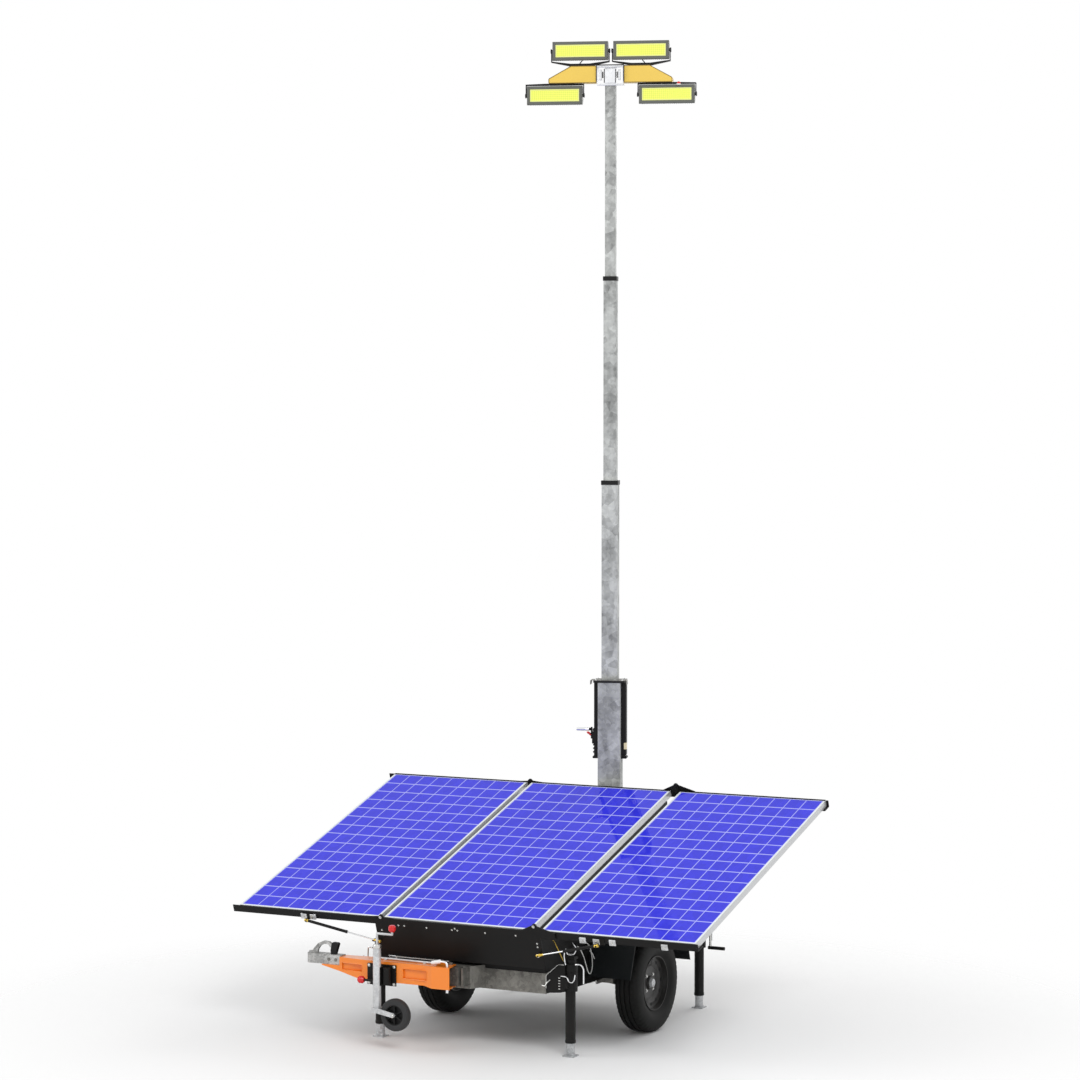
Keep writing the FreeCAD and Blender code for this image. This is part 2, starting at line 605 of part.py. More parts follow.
shell_outer = padded("shell_outer", "YZ", "cabinet_half*2", (wedge("0"),), middle=True)
shell_inner = padded("shell_inner", "YZ", "(cabinet_half-cabinet_wall)*2",
                     (wedge("cabinet_wall"),), middle=True)
shell = cut("shell", shell_outer, shell_inner)
skirts = [
    box(f"skirt_{name}",
        ("cabinet_wall", "cabinet_rear-skirt_start", f"{CABINET_FLOOR}-skirt_low"),
        (low, "skirt_start", "skirt_low"))
    for name, low in (("left", "-cabinet_half"), ("right", "cabinet_half-cabinet_wall"))
]
AXLE_BEAM_Y = "(axle_y-axle_ahead)"
notch = box("axle_notch", ("cabinet_half*3", "axle_side+20", "beam_low-skirt_low+6"),
            ("-cabinet_half*1.5", f"{AXLE_BEAM_Y}-axle_side/2-10", "skirt_low-1"))
cabinet = cut("cabinet", fused("cabinet_solid", [shell] + skirts), notch)
done(set_back(cabinet), "cabinet_shell")

BATTERY_HALF = "(cabinet_half-battery_side)"
battery = box("battery_box", (f"{BATTERY_HALF}*2", "battery_length", "battery_height"),
              (f"-{BATTERY_HALF}", "battery_start", f"{CABINET_FLOOR}+cabinet_wall"))
done(set_back(grouped("battery_group", [battery])), "battery_block")


def beam(name, low_y, deep):
    """A box beam across the chassis, open at its ends."""
    high = "(beam_low+beam_height)"
    outer = rectangle(low_y, "beam_low", f"{low_y}+{deep}", high)
    inner = rectangle(f"{low_y}+beam_wall", "beam_low+beam_wall",
                      f"{low_y}+{deep}-beam_wall", f"{high}-beam_wall")
    return padded(name, "YZ", "beam_half*2", (outer, inner), middle=True)


# Front beam with the tapered stub and the tongue that the drawbar hinges on
def stub(name, wall, low, high):
    """The tapered stub in plan, drawn in by a wall."""
    plan = (
        (f"-(stub_root-{wall})", "front_beam"), (f"stub_root-{wall}", "front_beam"),
        (f"stub_half-{wall}", f"tongue_start+{wall}"),
        (f"-(stub_half-{wall})", f"tongue_start+{wall}"),
    )
    return padded(name, "XY", f"({high})-({low})", (plan,), offset=low)


stub_shell = cut("stub_shell", stub("stub_outer", "0", "stub_low", "stub_high"),
                 stub("stub_inner", "stub_wall", "stub_low+stub_wall", "stub_high-stub_wall"))
TONGUE_LOW = "(bar_low+bar_plate+fork_play)"
TONGUE_HIGH = "(bar_high-bar_plate-fork_play)"
tongue = box("tongue_block",
             ("stub_half*2", "tongue_start+tongue_reach+stub_wall",
              f"{TONGUE_HIGH}-{TONGUE_LOW}"),
             ("-stub_half", "-tongue_reach", TONGUE_LOW))
# The lock pin's way through the tongue is a slot about the hinge bolt
LOCK_ARC = "sqrt(hinge_side*hinge_side*4+lock_ahead*lock_ahead)"
slot_outer = rod("slot_outer", f"{LOCK_ARC}+bolt_radius+bolt_play*2", "bar_high-bar_low",
                 ("-hinge_side", "0", "bar_low"))
slot_inner = rod("slot_inner", f"{LOCK_ARC}-bolt_radius-bolt_play*2", "bar_high-bar_low",
                 ("-hinge_side", "0", "bar_low"))
for thing, spread in ((slot_outer, 75), (slot_inner, 360)):
    thing.Angle = spread
slot_outer.Placement.Rotation = FreeCAD.Rotation(Z_AXIS, -52)
lock_slot = cut("lock_slot", slot_outer, slot_inner)
hinge_bolt = rod("hinge_bolt", "bolt_radius", "bar_high-bar_low+bolt_head*2",
                 ("-hinge_side", "0", "bar_low-bolt_head"))
bolt_top = rod("bolt_top", "bolt_head", "bolt_head*0.7", ("-hinge_side", "0", "bar_high+1"))
bolt_nut = rod("bolt_nut", "bolt_head", "bolt_head*0.7",
               ("-hinge_side", "0", "bar_low-bolt_head*0.7-1"))
tongue_cut = cut("tongue", tongue, lock_slot)
front = fused("front_beam_solid", [
    beam("front_beam_tube", "front_beam", "front_deep"), stub_shell, tongue_cut, hinge_bolt,
    bolt_top, bolt_nut])
done(set_back(front), "front_beam")

rear = grouped("rear_beam_group", [beam("rear_beam_tube", "rear_beam", "rear_deep")])
done(set_back(rear), "rear_beam")

rail_solids = []
for name, sign in (("left", -1), ("right", 1)):
    web_x = f"{sign}*side_rail"
    inner_x = f"{sign}*(side_rail-side_rail_width)"
    wall_x = f"{sign}*(side_rail-beam_wall)"
    high = "beam_low+beam_height"
    channel = (
        (web_x, "beam_low"), (web_x, high), (inner_x, high), (inner_x, f"{high}-beam_wall"),
        (wall_x, f"{high}-beam_wall"), (wall_x, "beam_low+beam_wall"),
        (inner_x, "beam_low+beam_wall"), (inner_x, "beam_low"),
    )
    rail_solids.append(padded(
        f"rail_{name}", "XZ", "rear_beam-front_beam-front_deep", (channel,),
        offset="-rear_beam"))
done(set_back(grouped("rail_pair", rail_solids)), "side_rails")

# Axle: a square beam, a trailing arm at each end and the wheels' spindles
axle_pieces = [box("axle_beam", ("axle_half*2", "axle_side", "axle_side"),
                   ("-axle_half", f"{AXLE_BEAM_Y}-axle_side/2", "beam_low-axle_side"))]
for name, sign in (("left", -1), ("right", 1)):
    top = "beam_low"
    low = "beam_low-axle_side"
    trailing = (
        (f"{AXLE_BEAM_Y}-axle_side/2", low), ("axle_y-axle_side/2", "wheel_radius-axle_side/2"),
        ("axle_y+axle_side/3", "wheel_radius-axle_side/2"),
        ("axle_y+axle_side/2", "wheel_radius-axle_side/3"),
        ("axle_y+axle_side/2", "wheel_radius+axle_side/3"),
        ("axle_y+axle_side/3", "wheel_radius+axle_side/2"),
        (f"{AXLE_BEAM_Y}+axle_side/2", top), (f"{AXLE_BEAM_Y}-axle_side/2", top),
    )
    low_x = "axle_half" if sign > 0 else "-axle_half-arm_thick"
    axle_pieces.append(padded(f"arm_{name}", "YZ", "arm_thick", (trailing,), offset=low_x))
    start = "axle_half" if sign > 0 else "-(wheel_x+hub_radius)"
    axle_pieces.append(rod(f"spindle_{name}", "spindle", "wheel_x+hub_radius-axle_half",
                           (start, "axle_y", "wheel_radius"), "x"))
done(set_back(fused("axle_solid", axle_pieces)), "axle")

# Wheel profiles in radius and distance from the wheel's middle plane, outer side positive
TYRE = (
    ("bead_radius", "-wheel_width*0.36"), ("bead_radius+14", "-wheel_width*0.40"),
    ("wheel_radius*0.74", "-wheel_width*0.50"), ("wheel_radius*0.86", "-wheel_width*0.49"),
    ("wheel_radius*0.955", "-wheel_width*0.43"), ("wheel_radius*0.99", "-wheel_width*0.34"),
    ("wheel_radius", "-wheel_width*0.2"), ("wheel_radius", "wheel_width*0.2"),
    ("wheel_radius*0.99", "wheel_width*0.34"), ("wheel_radius*0.955", "wheel_width*0.43"),
    ("wheel_radius*0.86", "wheel_width*0.49"), ("wheel_radius*0.74", "wheel_width*0.50"),
    ("bead_radius+14", "wheel_width*0.40"), ("bead_radius", "wheel_width*0.36"),
)
RIM = (
    ("spindle+spindle_play", "-wheel_width*0.34"), ("hub_radius", "-wheel_width*0.34"),
    ("hub_radius", "wheel_width*0.10"), ("bead_radius*0.62", "wheel_width*0.10"),
    ("bead_radius*0.74", "wheel_width*0.17"), ("bead_radius*0.84", "wheel_width*0.17"),
    ("bead_radius-16", "wheel_width*0.04"), ("bead_radius-16", "-wheel_width*0.30"),
    ("bead_radius-4", "-wheel_width*0.34"), ("bead_radius-4", "-wheel_width*0.40"),
    ("flange_radius-13", "-wheel_width*0.40"), ("bead_radius", "-wheel_width*0.36"),
    ("bead_radius", "wheel_width*0.36"), ("flange_radius-13", "wheel_width*0.40"),
    ("bead_radius-4", "wheel_width*0.40"), ("bead_radius-4", "wheel_width*0.36"),
    ("bead_radius-10", "wheel_width*0.22"), ("bead_radius*0.84", "wheel_width*0.20"),
    ("bead_radius*0.74", "wheel_width*0.20"), ("bead_radius*0.60", "wheel_width*0.13"),
    ("hub_radius*0.9", "wheel_width*0.13"), ("hub_radius*0.8", "wheel_width*0.20"),
    ("spindle+spindle_play", "wheel_width*0.20"),
)


def on_spindle(thing, sign):
    """Turn a wheel piece from its own axis Z to X and put it on its spindle."""
    turn = FreeCAD.Rotation(FreeCAD.Vector(0, 1, 0), 90 * sign)
    thing.Placement = FreeCAD.Placement(FreeCAD.Vector(), turn)
    return place(thing, f"{sign}*wheel_x", "axle_y-origin_shift", "wheel_radius")


for name, sign in (("left", -1), ("right", 1)):
    done(on_spindle(spun(f"tyre_{name}", TYRE), sign), f"{name}_tyre")
    done(on_spindle(spun(f"rim_{name}", RIM), sign), f"{name}_rim")

# Mudguards: a folded arch over each wheel, in reach from the axle and height
ARCH = (("guard_reach", "guard_low"), ("guard_reach*0.82", "guard_high-60"),
        ("guard_reach*0.52", "guard_high"))


def arch_points(wall):
    """The arch's line from its front foot to its rear foot, drawn in by a wall."""
    front = [(f"axle_y-({reach}-{wall})", f"{height}-{wall}*0.9") for reach, height in ARCH]
    back = [(f"axle_y+({reach}-{wall})", f"{height}-{wall}*0.9") for reach, height in ARCH]
    feet = (0, -1)
    line = front + back[::-1]
    for foot in feet:
        line[foot] = (line[foot][0], "guard_low")
    return line


guard_profile = tuple(arch_points("0")) + tuple(arch_points("guard_wall")[::-1])
guards = [
    padded(f"guard_{name}", "YZ", "guard_outer", (guard_profile,), offset=low)
    for name, low in (("left", "-(cabinet_half+guard_outer)"), ("right", "cabinet_half"))
]
done(set_back(grouped("guard_pair", guards)), "mudguards")

# Drawbar, drawn as towed: Y runs forward as negative numbers from the hinge line
SIDE_OUTER = (
    ("flare_back", "bar_low"), ("flare_back", "bar_high"), ("-bar_length", "bar_high"),
    ("-bar_length", "nose_high"), ("-bar_nose", "nose_high"), ("-bar_nose", "nose_low"),
    ("-taper_start", "bar_low+bar_step"), ("-flare_start", "bar_low+bar_step"),
    ("-flare_full", "bar_low"),
)
SIDE_INNER = (
    ("flare_back", "bar_low+bar_plate"), ("flare_back", "bar_high-bar_plate"),
    ("-(bar_length-bar_plate)", "bar_high-bar_plate"),
    ("-(bar_length-bar_plate)",
     "bar_low+bar_step+bar_plate*1.1+(nose_low-bar_low-bar_step)*(bar_length-taper_start)"
     "/(bar_nose-taper_start)"),
    ("-taper_start", "bar_low+bar_step+bar_plate*1.1"),
    ("-flare_start", "bar_low+bar_step+bar_plate"),
    ("-flare_full", "bar_low+bar_plate"),
)


# Back edge of the drawbar in plan: square round the lock pin, drawn back at the hinge bolt,
# and longest along the flared web
BAR_BACK = (
    ("-bar_half", "bar_back"), ("-hinge_side/2", "bar_back+bar_plate"),
    ("hinge_side/2", "lock_back"), ("bar_flare-bar_plate", "lock_back"),
    ("bar_flare-bar_plate", "flare_back"), ("bar_flare", "flare_back"),
)


def bar_plan(wall, back):
    """The drawbar in plan, drawn in by a wall, flared on its hinge side."""
    return back + (
        (f"bar_flare-{wall}", "-flare_full"), (f"bar_half-{wall}", "-flare_start"),
        (f"bar_half-{wall}", "-taper_start"), (f"nose_half-{wall}", "-bar_length"),
        (f"nose_half-{wall}", "-bar_nose"), (f"-(nose_half-{wall})", "-bar_nose"),
        (f"-(nose_half-{wall})", "-bar_length"), (f"-(bar_half-{wall})", "-taper_start"),
    )


def bar_solid(name, side, plan):
    """What a side outline and a plan outline of the drawbar share."""
    across = padded(f"{name}_side", "YZ", "bar_flare*2", (side,), middle=True)
    down = padded(f"{name}_plan", "XY", "bar_high-bar_low", (plan,), offset="bar_low")
    return common(name, [across, down])


INNER_BACK = (("-(bar_half-bar_plate)", "flare_back"), ("bar_flare-bar_plate", "flare_back"))


def pocket(name, start, end, low, floor, proud):
    """A pressed pocket's outline beside the web, wider than the press by a margin."""
    outline_points = (
        (f"-{start}+{proud}", f"{low}-{proud}"), (f"-{start}+{proud}", f"pocket_high+{proud}"),
        (f"-{end}-{proud}", f"pocket_high+{proud}"), (f"-{end}-{proud}", f"{low}-{proud}"),
    )
    return padded(name, "YZ", "bar_flare", (outline_points,), offset=floor)


# Pockets: name, near end, far end, low edge, X of the floor
POCKETS = (
    ("rear", "rear_pocket", "rear_pocket_end", "pocket_low", "(bar_half-pocket_depth)"),
    ("front", "front_pocket", "front_pocket_end", "front_pocket_low",
     "(nose_half-pocket_depth/2)"),
)
bar_outer = bar_solid("bar_outer", SIDE_OUTER, bar_plan("0", BAR_BACK))
bar_inner = bar_solid("bar_inner", SIDE_INNER, bar_plan("bar_plate", INNER_BACK))
trays = [pocket(f"{name}_tray", start, end, low, f"{floor}-pocket_wall", "pocket_wall")
         for name, start, end, low, floor in POCKETS]
bar_hollow = cut("bar_hollow", bar_inner, *trays)
mouth = box("bar_mouth", ("bar_half", "bar_back+web_start+bar_step",
                          "bar_high-bar_low-bar_plate*2"),
            ("-bar_half-bar_step", "-web_start", "bar_low+bar_plate"))
bar_tools = [bar_hollow, mouth]
for name, x, y in (("hinge", "-hinge_side", "0"), ("lock", "hinge_side", "lock_ahead")):
    bar_tools.append(rod(f"{name}_bore", "bolt_radius+bolt_play", "bar_high-bar_low+20",
                         (x, y, "bar_low-10")))
for name, start, end, low, floor in POCKETS:
    bar_tools.append(pocket(f"{name}_press", start, end, low, floor, "0"))
done(fold_bar(cut("bar", bar_outer, *bar_tools)), "drawbar")

LOCK_TOP = "(bar_high+20)"
lock_shaft = rod("lock_shaft", "bolt_radius", f"{LOCK_TOP}-bar_low+24",
                 ("hinge_side", "lock_ahead", "bar_low-24"))
lock_bend = ball("lock_bend", "bolt_radius", ("hinge_side", "lock_ahead", LOCK_TOP))
lock_handle = rod("lock_handle", "bolt_radius", "lock_ahead+74", ("hinge_side", "-74", LOCK_TOP),
                  "y")
done(fold_bar(fused("lock_solid", [lock_shaft, lock_bend, lock_handle])), "drawbar_lock_pin")

# Ball coupling on the drawbar's nose: neck, housing with its cup, grab loop and lever
neck = box("neck", ("neck_half*2", "ball_centre-bar_length", "housing_high-nose_high"),
           ("-neck_half", "-ball_centre", "nose_high"))
housing = rod("housing", "housing_radius", "housing_high-nose_high",
              ("0", "-ball_centre", "nose_high"))
dome = rod("dome", "housing_radius*0.75", "dome_rise", ("0", "-ball_centre", "housing_high"))
cup = ball("cup", "ball_radius", ("0", "-ball_centre", "ball_height"))
cup_mouth = rod("cup_mouth", "ball_radius", "ball_height-nose_high+20",
                ("0", "-ball_centre", "nose_high-20"))
loop_outer = (
    ("-(ball_centre+8)", "housing_high-4"), ("-(ball_centre-2)", "housing_high+24"),
    ("-(ball_centre-34)", "housing_high+58"), ("-(ball_centre-74)", "housing_high+76"),
    ("-(ball_centre-112)", "housing_high+74"), ("-(ball_centre-136)", "housing_high+56"),
    ("-(ball_centre-134)", "housing_high+36"), ("-(ball_centre-120)", "housing_high+40"),
    ("-(ball_centre-106)", "housing_high+56"), ("-(ball_centre-76)", "housing_high+58"),
    ("-(ball_centre-50)", "housing_high+44"), ("-(ball_centre-34)", "housing_high+22"),
    ("-(ball_centre-30)", "housing_high-4"),
)
loop = padded("loop", "YZ", "loop_width", (loop_outer,), middle=True)
lever_outer = (
    ("-(ball_centre-126)", "housing_high-10"), ("-(ball_centre-136)", "housing_high+62"),
    ("-(ball_centre-146)", "housing_high+70"), ("-(ball_centre-174)", "housing_high+68"),
    ("-(ball_centre-154)", "housing_high-10"),
)
lever = padded("lever", "YZ", "lever_width", (lever_outer,), middle=True)
coupling = cut("coupling", fused("coupling_solid", [neck, housing, dome, loop, lever]),
               cup, cup_mouth)
done(fold_bar(coupling), "ball_coupling")

# Jockey wheel on the drawbar's outer side
JOCKEY_Y = "-jockey_ahead"


def on_jockey(name, radius, low, high):
    """An upright cylinder on the jockey's axis."""
    return rod(name, radius, f"({high})-({low})", ("jockey_side", JOCKEY_Y, low))


clamp_base = box("clamp_base", ("clamp_plate", "clamp_half*2", "clamp_high-clamp_low+16"),
                 ("bar_half", f"{JOCKEY_Y}-clamp_half", "clamp_low-8"))
clamp_block = box("clamp_block", ("jockey_side-bar_half-clamp_plate", "clamp_radius*1.8",
                                  "clamp_high-clamp_low"),
                  ("bar_half+clamp_plate", f"{JOCKEY_Y}-clamp_radius*0.9", "clamp_low"))
clamp_ring = on_jockey("clamp_ring", "clamp_radius", "clamp_low", "clamp_high")
clamp_post = rod("clamp_post", "clamp_post", "clamp_high-clamp_low-10",
                 ("post_side", f"{JOCKEY_Y}+post_away", "clamp_low+5"))
clamp_bore = on_jockey("clamp_bore", "jockey_tube+clamp_play", "clamp_low-20",
                       "clamp_high+20")
clamp_screw = rod("clamp_screw", "crank_rod", "66",
                  ("jockey_side", f"{JOCKEY_Y}-clamp_radius-60", "clamp_low+25"), "y")
clamp_mouth = box("clamp_mouth", ("clamp_radius", "clamp_radius*2+clamp_play*2",
                                  "clamp_high-clamp_low+40"),
                  ("jockey_side+crank_rod+1", f"{JOCKEY_Y}-clamp_radius-clamp_play",
                   "clamp_low-20"))
clamp_pieces = [clamp_base, clamp_block, clamp_ring, clamp_post, clamp_screw]
clamp = cut("clamp", cut("clamp_closed", fused("clamp_solid", clamp_pieces), clamp_bore),
            clamp_mouth)
done(fold_bar(clamp), "jockey_clamp")

tube_wall = cut("jockey_pipe", on_jockey("pipe_outer", "jockey_tube", "jockey_low",
                                         "jockey_high"),
                on_jockey("pipe_inner", "jockey_bore", "jockey_low-10", "jockey_high-10"))
crank_post = on_jockey("crank_post", "crank_rod", "jockey_high-5", "crank_top")
crank_bend = ball("crank_bend", "crank_rod", ("jockey_side", JOCKEY_Y, "crank_top"))
crank_arm = rod("crank_arm", "crank_rod", "crank_throw",
                ("jockey_side", JOCKEY_Y, "crank_top"), "y")
crank_tip = ball("crank_tip", "crank_rod",
                 ("jockey_side", f"{JOCKEY_Y}+crank_throw", "crank_top"))
crank_pin = rod("crank_pin", "crank_rod", "knob_length*0.4",
                ("jockey_side", f"{JOCKEY_Y}+crank_throw", "crank_top"))
jockey_tube = fused("jockey_tube_solid",
                    [tube_wall, crank_post, crank_bend, crank_arm, crank_tip, crank_pin])
done(fold_bar(jockey_tube), "jockey_tube")

KNOB = (
    ("0", "0"), ("knob_radius*0.6", "0"), ("knob_radius", "knob_length*0.3"),
    ("knob_radius", "knob_length*0.75"), ("knob_radius*0.7", "knob_length"),
    ("0", "knob_length"),
)
crank_knob = place(spun("crank_knob", KNOB), "jockey_side", f"{JOCKEY_Y}+crank_throw",
                   "crank_top+knob_length*0.4")
clamp_knob = spun("clamp_knob", KNOB)
clamp_knob.Placement = FreeCAD.Placement(FreeCAD.Vector(), FreeCAD.Rotation(X_AXIS, 90))
place(clamp_knob, "jockey_side", f"{JOCKEY_Y}-clamp_radius-60", "clamp_low+25")
done(fold_bar(grouped("knobs", [crank_knob, clamp_knob])), "jockey_knobs")

stem = cut("stem", on_jockey("stem_outer", "jockey_stem", "jockey_low", "stem_high"),
           on_jockey("stem_inner", "castor_pin+pin_play", "jockey_low-10",
                     "jockey_low+60"))
done(fold_bar(grouped("stem_group", [stem])), "jockey_stem")

HALF_FORK = "(jockey_width/2+fork_gap+fork_plate)"
crown = box("crown", (f"{HALF_FORK}*2", "jockey_stem*2.2", "22"),
            (f"jockey_side-{HALF_FORK}", f"{JOCKEY_Y}-jockey_stem*1.1",
             "jockey_low-castor_gap-22"))
castor = on_jockey("castor", "castor_pin", "jockey_low-castor_gap-10", "jockey_low+55")
arm_profile = (
    (f"{JOCKEY_Y}-jockey_stem*1.1", "jockey_low-castor_gap"),
    (f"{JOCKEY_Y}-jockey_stem*1.1", "jockey_low-castor_gap-24"),
    (f"{JOCKEY_Y}+jockey_trail-6", "jockey_axle-13"), (f"{JOCKEY_Y}+jockey_trail+10",
                                                       "jockey_axle-8"),
    (f"{JOCKEY_Y}+jockey_trail+13", "jockey_axle+4"),
    (f"{JOCKEY_Y}+jockey_trail+4", "jockey_axle+13"),
    (f"{JOCKEY_Y}+jockey_stem*1.1", "jockey_low-castor_gap"),
)
fork_pieces = [crown, castor]
for name, low in (("near", f"jockey_side-{HALF_FORK}"),
                  ("off", f"jockey_side+{HALF_FORK}-fork_plate")):
    fork_pieces.append(padded(f"fork_{name}", "YZ", "fork_plate", (arm_profile,), offset=low))
fork_pieces.append(rod("fork_axle", "axle_pin", f"{HALF_FORK}*2+8",
                       (f"jockey_side-{HALF_FORK}-4", f"{JOCKEY_Y}+jockey_trail",
                        "jockey_axle"), "x"))
done(fold_bar(fused("fork_solid", fork_pieces)), "jockey_fork")

CASTOR_WHEEL = (
    ("axle_pin+pin_play", "-jockey_width*0.45"), ("jockey_wheel*0.24", "-jockey_width*0.45"),
    ("jockey_wheel*0.30", "-jockey_width*0.22"), ("jockey_wheel*0.62", "-jockey_width*0.22"),
    ("jockey_wheel*0.68", "-jockey_width*0.5"), ("jockey_wheel*0.92", "-jockey_width*0.5"),
    ("jockey_wheel", "-jockey_width*0.3"), ("jockey_wheel", "jockey_width*0.3"),
    ("jockey_wheel*0.92", "jockey_width*0.5"), ("jockey_wheel*0.68", "jockey_width*0.5"),
    ("jockey_wheel*0.62", "jockey_width*0.22"), ("jockey_wheel*0.30", "jockey_width*0.22"),
    ("jockey_wheel*0.24", "jockey_width*0.45"), ("axle_pin+pin_play", "jockey_width*0.45"),
)
castor_wheel = spun("castor_wheel", CASTOR_WHEEL)
castor_wheel.Placement = FreeCAD.Placement(FreeCAD.Vector(), AXIS_TURNS["x"])
place(castor_wheel, "jockey_side", f"{JOCKEY_Y}+jockey_trail", "jockey_axle")
done(fold_bar(grouped("castor_group", [castor_wheel])), "jockey_wheel")

# Stabiliser legs: name, sign of X, Y of the leg, whether it has a crank
LEGS = (
    ("front_left", -1, "leg_front", False), ("front_right", 1, "leg_front", False),
    ("rear_left", -1, "leg_rear", True), ("rear_right", 1, "leg_rear", True),
)
brackets = []
for name, sign, leg_y, cranked in LEGS:
    x = f"{sign}*leg_x"
    ring = rod(f"{name}_ring", "ring_radius", "ring_high-ring_low", (x, leg_y, "ring_low"))
    reach = "leg_x-beam_half"
    low_x = "beam_half" if sign > 0 else "-leg_x"
    arm = box(f"{name}_arm", (reach, "bracket_half*2", "beam_height-ring_low+beam_low"),
              (low_x, f"{leg_y}-bracket_half", "ring_low"))
    ring_bore = rod(f"{name}_ring_bore", "sleeve_radius+ring_play", "ring_high",
                    (x, leg_y, "beam_low/2"))
    brackets.append(cut(f"{name}_bracket", fused(f"{name}_bracket_solid", [ring, arm]),
                        ring_bore))

    sleeve = rod(f"{name}_sleeve", "sleeve_radius", "sleeve_high-sleeve_low",
                 (x, leg_y, "sleeve_low"))
    sleeve_bore = rod(f"{name}_sleeve_bore", "sleeve_bore", "sleeve_high-sleeve_low-10",
                      (x, leg_y, "sleeve_low-20"))
    sleeve_pipe = cut(f"{name}_pipe", sleeve, sleeve_bore)
    cap = rod(f"{name}_cap", "sleeve_radius+4", "leg_cap", (x, leg_y, "sleeve_high"))
    pieces = [sleeve_pipe, cap]
    if cranked:
        turn_x = f"{sign}*(leg_x+leg_crank)"
        low = x if sign > 0 else turn_x
        pieces.append(rod(f"{name}_crank_arm", "crank_rod", "leg_crank",
                          (low, leg_y, "sleeve_high+leg_cap/2"), "x"))
        pieces.append(rod(f"{name}_crank_drop", "crank_rod", "sleeve_high+leg_cap/2-leg_crank_low",
                          (turn_x, leg_y, "leg_crank_low")))
        pieces.append(ball(f"{name}_crank_bend", "crank_rod+1",
                           (turn_x, leg_y, "sleeve_high+leg_cap/2"), 90))
        grip_x = "leg_x+leg_crank-crank_rod*2" if sign > 0 else "-(leg_x+leg_crank+leg_grip)"
        pieces.append(rod(f"{name}_crank_grip", "crank_rod+4", "leg_grip+crank_rod*2",
                          (grip_x, leg_y, "leg_crank_low"), "x"))
    done(set_back(fused(f"{name}_sleeve_solid", pieces)), f"{name}_leg_sleeve")

    pipe = rod(f"{name}_foot_pipe", "foot_radius", "foot_high-foot_thick",
               (x, leg_y, "foot_thick"))
    pipe_bore = rod(f"{name}_foot_bore", "foot_bore", "foot_high", (x, leg_y, "foot_thick"))
    plate = box(f"{name}_foot_plate", ("foot_plate", "foot_plate", "foot_thick"),
                (f"{x}-foot_plate/2", f"{leg_y}-foot_plate/2", "0"))
    foot = fused(f"{name}_foot_solid", [cut(f"{name}_foot_tube", pipe, pipe_bore), plate])
    done(set_back(foot), f"{name}_leg_foot")
done(set_back(grouped("bracket_set", brackets)), "leg_brackets")

# Mast foot on the rear beam, and the turning base above it
FOOT_LOW = "(beam_low+beam_height)"
SEAT = f"({FOOT_LOW}+disc_thick+plate_gap)"
foot_disc = rod("foot_disc", "disc_radius", "disc_thick", ("0", "mast_y", FOOT_LOW))
foot_spigot = rod("foot_spigot", "spigot", "disc_thick+spigot_high", ("0", "mast_y", FOOT_LOW))
done(set_back(fused("foot_solid", [foot_disc, foot_spigot])), "mast_foot")


def square_tube(name, half, wall, low, high):
    """A square tube on the mast's own axis with rounded outer corners."""
    body = padded(name, "XY", f"({high})-({low})", (square(half), square(f"{half}-{wall}")),
                  offset=low)
    return upright_corners(f"{name}_corners", body, "mast_corner*" + f"({half})/mast_half")


def square_ring(name, outer, inner, low, height):
    """A plain square ring on the mast's own axis."""
    return padded(name, "XY", height, (square(outer), square(inner)), offset=low)


base_tube = square_tube("base_tube", "mast_half", "mast_wall", SEAT, "mast_top")
base_disc = rod("base_disc", "disc_radius", "disc_thick", ("0", "0", SEAT))
base_bore = rod("base_bore", "spigot+pin_play", "disc_thick*3", ("0", "0", f"{SEAT}-disc_thick"))
base_lip = square_ring("base_lip", "mast_half-1", "first_half+slide_play",
                       "mast_top-guide_height", "guide_height")
mast_base = fused("mast_base_solid", [cut("base_flange", base_disc, base_bore), base_tube,
                                      base_lip])
done(turn_mast(mast_base), "mast_base")

# Telescopic sections: name, own half side, top, parent's inner half, parent's top, next half
SECTIONS = (
    ("first", "first_half", "first_top", "mast_half-mast_wall", "mast_top", "second_half"),
    ("second", "second_half", "second_top", "first_half-tube_wall", "first_top", "third_half"),
    ("third", "third_half", "third_top", "second_half-tube_wall", "second_top", None),
)
for name, half, top, bore, parent_top, following in SECTIONS:
    low = f"({parent_top}-tube_lap)"
    pieces = [
        square_tube(f"{name}_tube", half, "tube_wall", low, top),
        square_ring(f"{name}_guide", f"{bore}-slide_play", f"{half}-1", low, "guide_height"),
    ]
    if following:
        pieces.append(square_ring(f"{name}_lip", f"{half}-1", f"{following}+slide_play",
                                  f"{top}-guide_height", "guide_height"))
    done(turn_mast(fused(f"{name}_section", pieces)), f"mast_{name}_section")

# Guards down both sides of the base, the collar over them, and the winch on one
guard_pieces = []
for name, low_x in (("left", "-(mast_half+guard_box)"), ("right", "mast_half")):
    guard_pieces.append(box(
        f"mast_guard_{name}", ("guard_box", "guard_box_deep", "mast_top-guard_box_low"),
        (low_x, "-guard_box_deep/2", "guard_box_low")))
collar = box("collar", ("(mast_half+guard_box)*2", "mast_half*2+6", "collar_thick"),
             ("-(mast_half+guard_box)", "-(mast_half+3)", "mast_top"))
collar_hole = box("collar_hole", ("first_half*2+2", "first_half*2+2", "collar_thick*3"),
                  ("-(first_half+1)", "-(first_half+1)", "mast_top-collar_thick"))
guard_pieces.append(cut("collar_ring", collar, collar_hole))
winch_case = box("winch_case", ("winch_wide", "winch_deep", "winch_high"),
                 ("-(mast_half+guard_box+winch_wide)", "-winch_deep/2", "winch_z-winch_high/2"))
winch_arm = box("winch_arm", ("winch_lever", "16", "winch_throw+22"),
                ("-(mast_half+guard_box+winch_wide+winch_lever)", "-8", "winch_z-8"))
